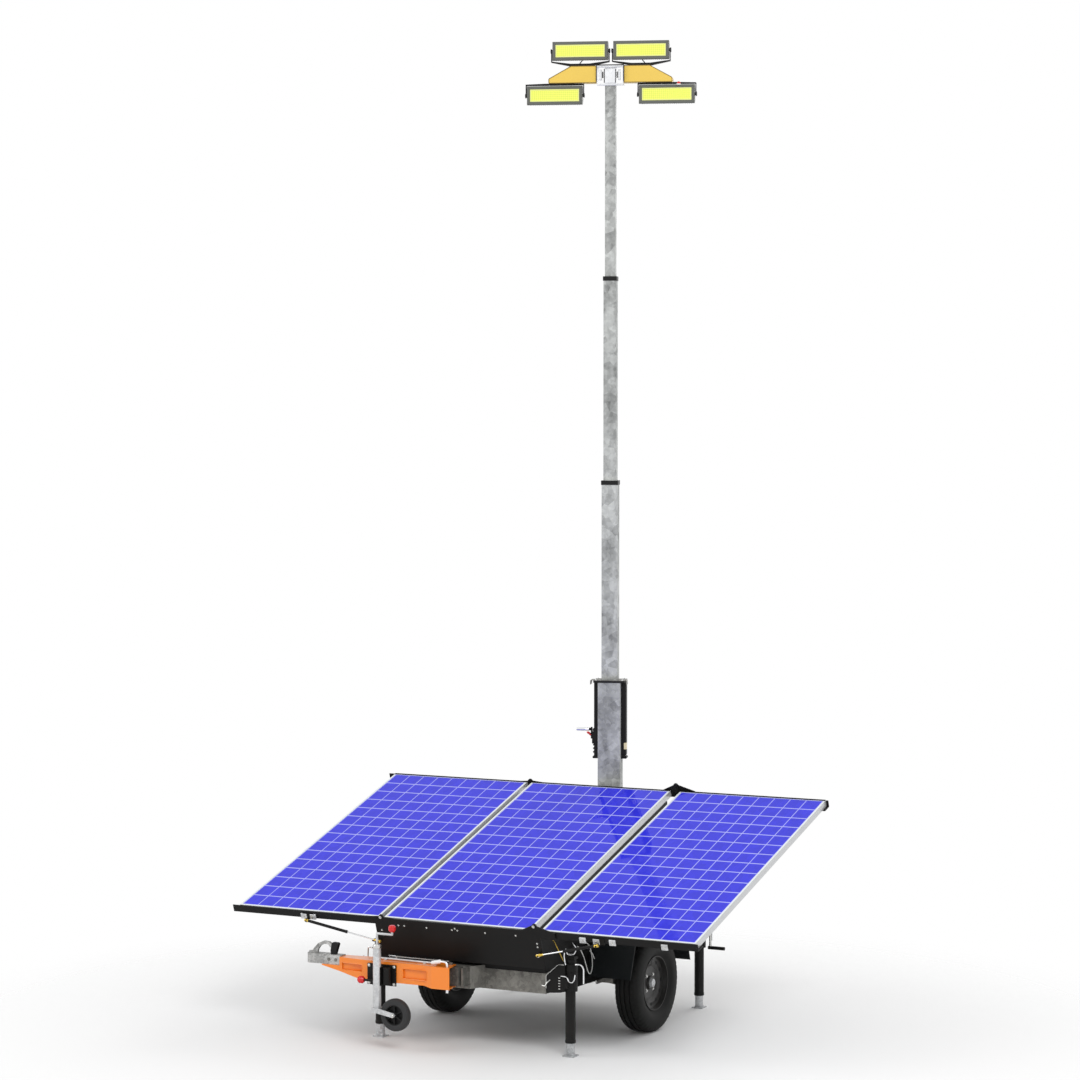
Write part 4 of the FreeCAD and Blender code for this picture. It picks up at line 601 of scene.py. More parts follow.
class Stock(Enum):
    """The finishes that pieces and nodes share."""

    ZINC = Galvanised("galvanised_steel", (0.170, 0.164, 0.148), 0.6)
    MAST = Galvanised("mast_zinc", (0.385, 0.395, 0.385), 0.75, 20.0, 0.22, 0.50)
    PALE = Galvanised("pale_zinc", (0.60, 0.61, 0.62), 0.35, 60.0, 0.35, 0.36)
    HEAD = Galvanised("head_zinc", (0.82, 0.83, 0.85), 0.18, 40.0, 0.2, 0.40)
    FOOT = Galvanised("foot_zinc", (0.46, 0.47, 0.48), 0.6, 90.0, 0.4, 0.36)
    CAST = Galvanised("cast_zinc", (0.38, 0.38, 0.37), 0.75, 110.0, 0.35, 0.5)
    ORANGE = Paint("orange_paint", (0.93, 0.235, 0.010), 0.30, 0.45, 0.05)
    # A darker copy of the orange paint for the pocket walls: painted shade in the recesses.
    SHADE = Paint("orange_painted_shade", (0.62, 0.120, 0.004), 0.42, 0.30, 0.05)
    YELLOW = Paint("yellow_paint", (0.87, 0.60, 0.110), 0.40, 0.15, 0.08, 0.3)
    # A dark copy of the arms' yellow for their folded edges: painted shade.
    EDGE = Paint("arm_edge_painted_shade", (0.20, 0.135, 0.03), 0.45, 0.1, 0.05, 0.3)
    BLACK = Paint("black_paint", (0.0070, 0.0068, 0.0066), 0.44, 0.03, 0.03, 0.16)
    GUARD = Paint("mudguard_black", (0.011, 0.013, 0.014), 0.38, 0.1, 0.06, 0.2)
    CASE = Paint("lamp_case", (0.125, 0.130, 0.115), 0.42, 0.15, 0.05, 0.3)
    RIM = Paint("rim_grey", (0.020, 0.019, 0.018), 0.34, 0.2, 0.06, 0.3)
    BRIGHT = Plain("bright_zinc", (0.62, 0.62, 0.60), 0.24, 0.85, 120.0, 0.05)
    CHROME = Plain("polished_chrome", (0.80, 0.81, 0.82), 0.10, 1.0, 60.0, 0.01)
    CREAM = Plain("cream_plastic", (0.86, 0.74, 0.46), 0.40, 0.0, 120.0, 0.04)
    WHITE = Plain("white_sleeve", (0.84, 0.84, 0.83), 0.34, 0.0, 120.0, 0.04)
    GOLD = Plain("yellow_chromate", (0.72, 0.50, 0.09), 0.28, 0.8)
    FRAME = Plain("anodised_frame", (0.60, 0.61, 0.62), 0.30, 0.45, 300.0, 0.03,
                  (1.0, 0.04, 1.0))
    # A lighter, bluer copy of the frame metal for its top lip: painted highlight.
    LIP = Plain("frame_lip_painted_highlight", (0.80, 0.86, 0.88), 0.32, 0.05, 300.0, 0.02)
    RUBBER = Plain("tyre_rubber", (0.0085, 0.0085, 0.0080), 0.66, 0.0, 90.0, 0.20,
                   specular=0.2)
    WHEEL = Plain("grey_rubber", (0.033, 0.033, 0.034), 0.60, 0.0, 90.0, 0.12, specular=0.25)
    PLASTIC = Plain("black_plastic", (0.009, 0.009, 0.009), 0.46, 0.0, 260.0, 0.12,
                    specular=0.2)
    SEAL = Plain("dull_seal", (0.004, 0.004, 0.004), 0.9, 0.0, 200.0, 0.08, specular=0.02)
    RED = Plain("red_plastic", (0.66, 0.016, 0.018), 0.26, 0.0, 200.0, 0.03)
    CABLE = Plain("grey_cable", (0.74, 0.74, 0.72), 0.5, 0.0, 200.0, 0.05)
    WIRE = Plain("black_cable", (0.012, 0.012, 0.012), 0.48, 0.0, 200.0, 0.05)
    BORDER = Plain("lens_border", (0.86, 0.95, 0.30), 0.30, 0.0, 200.0, 0.02)
    LENS = LampLens("lamp_lens")
    SIGNAL = SignalLens("rear_lens")

    @property
    def material(self) -> bpy.types.Material:
        """The finish's material, made on first use."""
        found = bpy.data.materials.get(f"{self.value.name}_finish")
        return found or self.value.build()


def piece(name: str, shape: Shape, stock: Stock, body: str, seat: Seat = Seat.GROUND,
          crease: float = 32.0) -> bpy.types.Object:
    """Make one piece of the object.

    Args:
        name: The piece's name.
        shape: Points in the seat's frame, and faces.
        stock: Its finish.
        body: The body that it rides on.
        seat: The frame that the shape is drawn in.
        crease: Edges sharper than this many degrees stay sharp.

    Returns:
        The object, in place and riding on its body.
    """
    mesh = bpy.data.meshes.new(name)
    mesh.from_pydata(seat.place(shape.points).tolist(), [], shape.faces)
    work = bmesh.new()
    work.from_mesh(mesh)
    bmesh.ops.remove_doubles(work, verts=work.verts, dist=2e-6)
    bmesh.ops.dissolve_degenerate(work, edges=work.edges, dist=1e-6)
    bmesh.ops.recalc_face_normals(work, faces=work.faces)
    work.to_mesh(mesh)
    work.free()
    mesh.polygons.foreach_set("use_smooth", np.ones(len(mesh.polygons), bool))
    mesh.set_sharp_from_angle(angle=math.radians(crease))
    mesh.materials.append(stock.material)
    made = bpy.data.objects.new(name, mesh)
    bpy.context.scene.collection.objects.link(made)
    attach(made, body)
    return made


def dress(nodes: dict, finishes: dict[str, Stock]) -> None:
    """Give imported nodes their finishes."""
    for name, stock in finishes.items():
        paint_node(nodes[name], stock.material)


def paint_node(node: bpy.types.Object, material: bpy.types.Material) -> None:
    """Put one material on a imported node."""
    node.data.materials.clear()
    node.data.materials.append(material)


@dataclass
class Studio:
    """Pale floor and backdrop, soft lamps and the camera."""

    azimuth: float = 28.244
    pitch: float = 2.345
    lens: float = 108.06
    camera_at: tuple = (9.4086, -16.4769 - SHIFT, 3.7978)
    sky: float = 0.62
    floor_white: float = 0.95
    floor_near: float = 1.7
    floor_far: float = 4.2
    gaze: tuple = (0.0, 0.0, 1.5)
    lamps: tuple = (("key", (7.5, -8.0, 9.0), 5.0, 620.0),
                    ("fill", (-8.0, -6.5, 6.5), 6.0, 260.0),
                    ("back", (2.0, 9.0, 8.0), 6.0, 260.0))

    def build(self) -> None:
        """Make the world, the floor, the lamps and the camera."""
        scene = bpy.context.scene
        scene.view_settings.view_transform = "Standard"
        self.world(scene)
        self.floor()
        for lamp in self.lamps:
            self.lamp(*lamp)
        camera = bpy.data.cameras.new("photo_camera")
        camera.lens = self.lens
        camera.sensor_width = 36.0
        camera.clip_end = 200.0
        holder = bpy.data.objects.new("photo_camera", camera)
        holder.location = self.camera_at
        holder.rotation_euler = (math.radians(90 - self.pitch), 0.0, math.radians(self.azimuth))
        scene.collection.objects.link(holder)
        scene.camera = holder

    def world(self, scene: bpy.types.Scene) -> None:
        """White to the camera and in reflections, softer as light."""
        world = bpy.data.worlds.new("studio")
        world.use_nodes = True
        nodes, links = world.node_tree.nodes, world.node_tree.links
        background = nodes["Background"]
        background.inputs["Color"].default_value = (1, 1, 1, 1)
        path = nodes.new("ShaderNodeLightPath")
        seen = nodes.new("ShaderNodeMath")
        seen.operation = "MAXIMUM"
        links.new(path.outputs["Is Camera Ray"], seen.inputs[0])
        links.new(path.outputs["Is Glossy Ray"], seen.inputs[1])
        clear = nodes.new("ShaderNodeMath")
        clear.operation = "MAXIMUM"
        links.new(seen.outputs[0], clear.inputs[0])
        links.new(path.outputs["Is Transmission Ray"], clear.inputs[1])
        strength = nodes.new("ShaderNodeMapRange")
        strength.inputs["To Min"].default_value = self.sky
        strength.inputs["To Max"].default_value = 1.0
        links.new(clear.outputs[0], strength.inputs["Value"])
        links.new(strength.outputs[0], background.inputs["Strength"])
        scene.world = world

    def floor(self) -> None:
        """A wide pale disc that fades into the white backdrop: its opacity falls smoothly
        with the squared distance from the middle."""
        net = ShaderNet("studio_floor")
        east, north, _ = net.axes(net.place())
        tone = net.noise(0.6, 2.0)
        white = self.floor_white
        net.set(Base_Color=net.mix(tone, opaque((white, white, white), 0.995),
                                   opaque((white, white, white), 1.005)), Roughness=0.9,
                Alpha=(east * east + north * north).fall(self.floor_near ** 2,
                                                         self.floor_far ** 2))
        mesh = bpy.data.meshes.new("floor")
        rim = np.column_stack([ring_points(60.0, 64), np.full(64, -0.0005)])
        mesh.from_pydata(rim.tolist(), [], [tuple(range(64))])
        mesh.materials.append(net.material)
        floor = bpy.data.objects.new("floor", mesh)
        bpy.context.scene.collection.objects.link(floor)

    def lamp(self, name: str, at: tuple, size: float, power: float) -> None:
        """A soft square lamp that looks at the array."""
        light = bpy.data.lights.new(name, "AREA")
        light.size = size
        light.energy = power
        holder = bpy.data.objects.new(name, light)
        holder.location = at
        gaze = np.array(self.gaze) - np.array(at)
        flat = math.hypot(gaze[0], gaze[1])
        holder.rotation_euler = (math.atan2(flat, -gaze[2]), 0.0,
                                 math.atan2(gaze[1], gaze[0]) - math.pi / 2)
        bpy.context.scene.collection.objects.link(holder)


@dataclass
class SolarArray:
    """Three modules with their cells, frame lips, clamps, hinge nuts and wiring."""

    width: float = 0.992
    length: float = 1.956
    gap_left: float = 0.035
    gap_right: float = 0.069
    lip: float = 0.012
    pivots: tuple = ((-0.5135, 0.005, 0.0175), (0.5305, 0.033, 0.0240))
    clamps: tuple = (("left_wing", -1.062), ("left_wing", -0.998), ("right_wing", 0.835),
                     ("right_wing", 0.923), ("right_wing", 1.027), ("right_wing", 1.360))

    def build(self, nodes: dict) -> None:
        """Dress the modules and add what they carry."""
        half = self.width / 2
        modules = (("left", -(half + self.gap_left + self.width), "left_wing"),
                   ("centre", -half, "chassis"), ("right", half + self.gap_right, "right_wing"))
        for name, low_x, body in modules:
            glass = SolarGlass(f"solar_glass_{name}", low_x, self.width, self.length)
            paint_node(nodes[f"{name}_module_glass"], glass.build())
            paint_node(nodes[f"{name}_module_frame"], Stock.FRAME.material)
            self.frame_lip(name, low_x, body)
            self.junctions(name, low_x, body)
        for body in ("left_wing", "right_wing"):
            spots = [x for owner, x in self.clamps if owner == body]
            self.clamp_row(body, spots)
        self.hinge_nuts()
        LOG.info("solar array: %d modules, %d clamps", len(modules), len(self.clamps))

    def frame_lip(self, name: str, low_x: float, body: str) -> None:
        """Painted highlight on the frame's top lip: four lighter mitred strips just proud of it.
        """
        outer = rectangle(low_x, 0.0, low_x + self.width, self.length)
        levels = ((drawn_in(outer, 0.0002), 0.0002), (drawn_in(outer, 0.0006), 0.0012),
                  (drawn_in(outer, self.lip - 0.0006), 0.0012),
                  (drawn_in(outer, self.lip), 0.0002))
        rings = np.stack([np.column_stack([ring, np.full(4, level)]) for ring, level in levels])
        shape = grid(rings, close_u=True, close_v=True)
        piece(f"{name}_frame_lip", shape, Stock.LIP, body, Seat.ARRAY)
        seal = block((low_x + 0.001, self.length - self.lip, 0.0008),
                     (low_x + self.width - 0.001, self.length - 0.0006, 0.0042), 0.0006)
        piece(f"{name}_frame_seal", seal, Stock.SEAL, body, Seat.ARRAY)

    def junctions(self, name: str, low_x: float, body: str) -> None:
        """Three junction boxes under a module and the leads between them."""
        top = self.length - 0.34
        middle = low_x + self.width / 2
        boxes = [block((middle + at - 0.05, top, -0.030), (middle + at + 0.05, top + 0.07,
                                                          -0.0079), 0.004)
                 for at in (-0.28, 0.0, 0.28)]
        piece(f"{name}_junction_boxes", joined(boxes), Stock.PLASTIC, body, Seat.ARRAY)
        leads = []
        for sign in (-1, 1):
            path = flowing([(middle + sign * 0.05, top + 0.03, -0.022),
                            (middle + sign * 0.12, top + 0.01, -0.028),
                            (middle + sign * 0.19, top + 0.02, -0.028),
                            (middle + sign * 0.23, top + 0.03, -0.022)])
            leads.append(tube(path, 0.0032, 8))
        piece(f"{name}_module_leads", joined(leads), Stock.WIRE, body, Seat.ARRAY)

    def clamp_row(self, body: str, spots: list[float]) -> None:
        """Folded clamps on the near rail, each with a bolt."""
        profile = np.array([(-0.0060, -0.0180), (-0.0060, -0.0526), (-0.0118, -0.0526),
                            (-0.0118, -0.0215), (-0.0075, -0.0180)])
        shapes = [across(profile, x - 0.0208, x + 0.0208, 0.001) for x in spots]
        piece(f"{body}_clamps", joined(shapes), Stock.PALE, body, Seat.ARRAY)
        heads = bolts([(x, -0.0118, -0.036) for x in spots], 1, -1, 0.006)
        piece(f"{body}_clamp_bolts", heads, Stock.BRIGHT, body, Seat.ARRAY)

    def hinge_nuts(self) -> None:
        """Nuts on the wing pins and the small bolts along the front plate."""
        nuts = [bolt((x, -out, rise), 1, -1, 0.0085) for x, rise, out in self.pivots]
        nuts += [bolt((x, self.length + out, rise), 1, 1, 0.0085)
                 for x, rise, out in self.pivots]
        piece("wing_pin_nuts", joined(nuts), Stock.BRIGHT, "chassis", Seat.ARRAY)
        row = (-0.398, -0.358, -0.205, -0.032, 0.005, 0.192, 0.396)
        small = [(x, -0.0125, -0.041) for x in row] + [(-0.011, -0.0125, -0.030)]
        small += [(0.531, -0.0125, -0.082), (0.531, -0.0125, -0.104),
                  (-0.520, -0.0125, -0.082), (-0.520, -0.0125, -0.104)]
        piece("front_plate_bolts", bolts(small, 1, -1, 0.0052), Stock.BRIGHT, "chassis",
              Seat.ARRAY)


@dataclass
class GasStruts:
    """Ball sockets and collars of the wing struts."""

    stand: float = 0.036
    stud: tuple = (0.540, -0.145)
    barrels: tuple = (("left", -1.030), ("right", 0.935))
    barrel_rise: float = -0.048
    barrel_share: float = 0.56

    def socket(self, start: np.ndarray, toward: np.ndarray) -> Shape:
        """A ball socket: neck and cup turned about the strut's line."""
        line = toward / np.linalg.norm(toward)
        path = start + line * np.array([[-0.013], [-0.011], [0.0], [0.012], [0.020], [0.034]])
        return tube(path, np.array((0.0070, 0.0096, 0.0106, 0.0094, 0.0068, 0.0064)), 16)

    def build(self, nodes: dict) -> None:
        """Dress the barrels and rods and add their ends."""
        for side, x in self.barrels:
            sign = -1 if side == "left" else 1
            start = np.array((x, -self.stand, self.barrel_rise))
            end = np.array((sign * self.stud[0], -self.stand, self.stud[1]))
            reach = end - start
            piece(f"{side}_barrel_socket", self.socket(start, reach), Stock.GOLD,
                  f"{side}_strut_barrel", Seat.ARRAY)
            piece(f"{side}_rod_socket", self.socket(end, -reach), Stock.GOLD,
                  f"{side}_strut_rod", Seat.ARRAY)
            mouth = start + reach * self.barrel_share
            step = reach / np.linalg.norm(reach)
            collar = tube(mouth + step * np.array([[-0.010], [-0.009], [0.001], [0.004]]),
                          np.array((0.0092, 0.0100, 0.0100, 0.0075)), 16)
            piece(f"{side}_barrel_collar", collar, Stock.PLASTIC, f"{side}_strut_barrel",
                  Seat.ARRAY)
            dress(nodes, {f"{side}_strut_barrel": Stock.BLACK,
                          f"{side}_strut_rod": Stock.CHROME})
        LOG.info("gas struts: %d", len(self.barrels))


@dataclass
class Cabinet:
    """Doors, louvres, handles and sockets on the wedge cabinet."""

    half: float = 0.500
    rear: float = 1.800
    door: tuple = (0.60, 1.74, 0.690)
    door_gap: float = -0.075
    door_frame: float = 0.035
    hinges: tuple = (0.80, 1.17, 1.54)
    latches: tuple = (0.85, 1.45)
    latch_drop: float = 0.055

    def under_array(self, y: float, n: float) -> float:
        """Height over Y of the plane that lies at N in the array's frame."""
        return EDGE + y * math.tan(TILT) + n / math.cos(TILT)

    def build(self) -> None:
        """Add the side doors, the back panel and what they carry."""
        front, back, low = self.door
        gap = self.door_gap
        door = np.array([(front, low), (back, low), (back, self.under_array(back, gap)),
                         (front, self.under_array(front, gap))])
        inner = drawn_in(door, self.door_frame)
        right = across(door, self.half + 0.0002, self.half + 0.004, 0.0015)
        right += across(inner, self.half + 0.0035, self.half + 0.006, 0.002)
        hinges = joined([block((self.half + 0.0038, y - 0.03, low - 0.012),
                               (self.half + 0.010, y + 0.03, low + 0.018), 0.002)
                         for y in self.hinges])
        latches = joined([self.latch(y, self.under_array(y, gap) - self.latch_drop)
                          for y in self.latches])
        louvres = joined([self.louvre(1.46, z) for z in np.arange(0.745, 0.90, 0.026)])
        for side, turn in (("right", False), ("left", True)):
            parts = (("door", right, Stock.BLACK, "black_paint"),
                     ("door_hinges", hinges, Stock.PLASTIC, None),
                     ("door_latches", latches, Stock.BRIGHT, "zinc_plate"),
                     ("louvres", louvres, Stock.BLACK, "black_paint"))
            for name, shape, stock, slot in parts:
                piece(f"{side}_{name}", shape.mirrored() if turn else shape, stock, "chassis")
        self.back_panel()
        LOG.info("cabinet: doors, louvres and back panel")

    def latch(self, y: float, z: float) -> Shape:
        """A swing handle on its dished plate."""
        plate = across(np.array([(y - 0.06, z - 0.018), (y + 0.06, z - 0.018),
                                 (y + 0.06, z + 0.018), (y - 0.06, z + 0.018)]),
                       self.half + 0.0055, self.half + 0.009, 0.0015)
        lever = across(np.array([(y - 0.052, z - 0.007), (y + 0.03, z - 0.010),
                                 (y + 0.045, z), (y + 0.03, z + 0.010), (y - 0.052, z + 0.007)]),
                       self.half + 0.009, self.half + 0.019, 0.003)
        return plate + lever

    def louvre(self, y: float, z: float) -> Shape:
        """One pressed slat, a quarter-round in section."""
        angle = np.linspace(0, math.pi / 2, 6)
        ends = np.array((y - 0.11, y + 0.11))
        cells = np.empty((2, 7, 3))
        cells[..., 1] = ends[:, None]
        cells[:, :6, 0] = self.half + 0.0055 + 0.011 * np.cos(angle)
        cells[:, :6, 2] = z + 0.016 * np.sin(angle)
        cells[:, 6, 0] = self.half + 0.0055
        cells[:, 6, 2] = z
        return grid(cells, close_v=True, caps=True)

    def back_panel(self) -> None:
        """Control door, handle, vents and covered sockets on the back wall."""
        wall = self.rear
        door = along(rectangle(-0.43, 0.60, -0.12, 1.16), wall + 0.0002, wall + 0.006, 0.002)
        door += along(rectangle(-0.405, 0.625, -0.145, 1.135), wall + 0.005, wall + 0.009, 0.002)
        piece("control_door", door, Stock.BLACK, "chassis")
        handle = along(rectangle(-0.165, 0.84, -0.140, 0.92), wall + 0.009, wall + 0.020, 0.004)
        piece("control_door_handle", handle, Stock.BRIGHT, "chassis")
        slats = []
        for z in np.arange(0.64, 0.86, 0.030):
            slat = self.louvre(0.0, z)
            turned = slat.moved(-self.half - 0.0055, 0.0, 0.0).turned(2, 90)
            slats.append(turned.moved(0.28, wall, 0.0))
        piece("back_louvres", joined(slats), Stock.BLACK, "chassis")
        caps = []
        for x in (0.20, 0.28, 0.36):
            caps.append(lathe([(0, 0), (0.030, 0), (0.030, 0.010), (0.024, 0.030), (0.021, 0.034),
                               (0, 0.034)], 1, (x, wall, 1.02), 24))
            caps.append(block((x - 0.034, wall, 0.982), (x + 0.034, wall + 0.007, 1.060), 0.002))
        piece("covered_sockets", joined(caps), Stock.PLASTIC, "chassis")


@dataclass
class Chassis:
    """Bolts, conduit and lamps of the galvanised frame."""

    def build(self, nodes: dict) -> None:
        """Dress the frame's nodes and add its fastenings."""
        dress(nodes, {
            "front_beam": Stock.ZINC, "side_rails": Stock.ZINC, "rear_beam": Stock.ZINC,
            "axle": Stock.ZINC, "cabinet_front_plate": Stock.BLACK,
            "cabinet_shell": Stock.BLACK, "battery_block": Stock.PLASTIC,
            "rear_hinge_plate": Stock.BLACK, "mudguards": Stock.GUARD,
            "leg_brackets": Stock.BLACK, "rear_lamps": Stock.SIGNAL, "mast_foot": Stock.ZINC,
            "left_wing_rails": Stock.BLACK, "right_wing_rails": Stock.BLACK,
        })
        heads = []
        for sign in (-1, 1):
            for y in (0.172, 0.246):
                heads.append(bolt((sign * 0.600, y, 0.4805), 2, 1, 0.010))
            for y in (1.926, 1.996):
                heads.append(bolt((sign * 0.590, y, 0.4805), 2, 1, 0.010))
        piece("frame_bolts", joined(heads), Stock.BRIGHT, "chassis")
        bars = [tube(bent([(-0.490, 0.138, 0.500), (-0.490, 0.128, 0.512),
                           (-0.130, 0.128, 0.512), (-0.130, 0.150, 0.498)], 0.008), 0.007, 10)]
        piece("conduit_bar", joined(bars), Stock.BRIGHT, "chassis")
        u_bolts = []
        for sign in (-1, 1):
            for x in (0.388, 0.442):
                path = bent([(sign * x, 0.938, 0.372), (sign * x, 0.938, 0.297),
                             (sign * x, 1.022, 0.297), (sign * x, 1.022, 0.372)], 0.012)
                u_bolts.append(tube(path, 0.006, 10))
        piece("axle_u_bolts", joined(u_bolts), Stock.BRIGHT, "chassis")
        hook = bent([(0.520, 0.206, 0.684), (0.543, 0.200, 0.672), (0.603, 0.200, 0.565),
                     (0.606, 0.203, 0.552)], 0.010)
        piece("stay_rod", tube(hook, 0.0028, 8), Stock.GOLD, "chassis")
        rims = [along(rectangle(x - 0.068, 0.377, x + 0.068, 0.473), 2.074, 2.083, 0.002)
                for x in (-0.431, 0.431)]
        piece("rear_lamp_backs", joined(rims), Stock.PLASTIC, "chassis")
        LOG.info("chassis: bolts, conduit and lamps")


@dataclass
class RoadWheels:
    """Tyres with tread, hub caps, wheel bolts and valves."""

    radius: float = 0.298
    width: float = 0.162
    bead: float = 0.165
    steps: int = 216
    groove: float = 0.0045
    x: float = 0.694
    y: float = 1.116

    def tyre(self, sign: int) -> Shape:
        """Tyre as radius and height around a closed section, cut by grooves: the radius of
        the tread drops by the groove depth where the angle and the height lie in a groove."""
        half = self.width / 2
        section = [(self.bead, -0.72), (self.bead + 0.014, -0.80), (0.196, -0.955),
                   (0.222, -1.0), (0.245, -0.995), (0.268, -0.95), (0.284, -0.87),
                   (0.2925, -0.74), (0.2965, -0.60), (0.2975, -0.46), (0.2975, -0.43),
                   (0.290, -0.42), (0.290, -0.36), (0.2978, -0.35), (0.298, -0.20),
                   (0.298, -0.07), (0.290, -0.06), (0.290, 0.0)]
        right = [(radius, -share) for radius, share in section[-2::-1]]
        line = np.array(section + right)
        angle = np.arange(self.steps) * 2 * math.pi / self.steps
        radius = np.repeat(line[:, :1], self.steps, 1)
        share = np.repeat(line[:, 1:], self.steps, 1)
        zigzag = (np.arange(self.steps)[None, :] + np.round(np.abs(share) * 4)) % 4
        cut = (zigzag < 1) & (np.abs(share) > 0.44) & (np.abs(share) < 0.9) & (radius > 0.28)
        radius = radius - self.groove * cut
        cells = np.stack([self.x * sign + share * half,
                          self.y + radius * np.cos(angle),
                          self.radius + radius * np.sin(angle)], -1)
        return grid(cells, close_u=True, close_v=True)

    def build(self, nodes: dict) -> None:
        """Dress both wheels."""
        for side, sign in (("left", -1), ("right", 1)):
            body = f"{side}_wheel"
            tyre = piece(f"{side}_treaded_tyre", self.tyre(sign), Stock.RUBBER, body,
                         crease=40)
            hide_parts(f"{side}_tyre")
            dress(nodes, {f"{side}_rim": Stock.RIM})
            face = sign * (self.x + 0.032)
            cap = lathe([(0, 0.022), (0.016, 0.021), (0.024, 0.016), (0.027, 0.006),
                         (0.028, 0.0), (0.0, 0.0)], 0, (0, 0, 0), 28)
            if sign < 0:
                cap = cap.mirrored()
            piece(f"{side}_hub_cap", cap.moved(face, self.y, self.radius), Stock.PALE, body)
            spots = ring_points(0.062, 4, math.pi / 4)
            plate = sign * (self.x + 0.0205)
            heads = [(plate, self.y + a, self.radius + b) for a, b in spots]
            piece(f"{side}_wheel_bolts", bolts(heads, 0, sign, 0.0095), Stock.BRIGHT, body)
            # Thin black discs on the rim's face stand in for its holes: painted shade of the dark
            # inside.
            slots = [lathe([(0, 0), (0.012, 0), (0.012, 0.0008), (0, 0.0008)], 0,
                           (sign * (self.x + 0.0322) - (0.0008 if sign < 0 else 0.0),
                            self.y + a, self.radius + b), 16)
                     for a, b in ring_points(0.131, 12)]
            piece(f"{side}_rim_holes_painted_shade", joined(slots), Stock.PLASTIC, body)
            valve = tube(np.array([(sign * (self.x + 0.020), self.y, self.radius + 0.148),
                                   (sign * (self.x + 0.042), self.y, self.radius + 0.140)]),
                         0.004, 10)
            piece(f"{side}_valve", valve, Stock.PLASTIC, body)
        LOG.info("road wheels: 2")


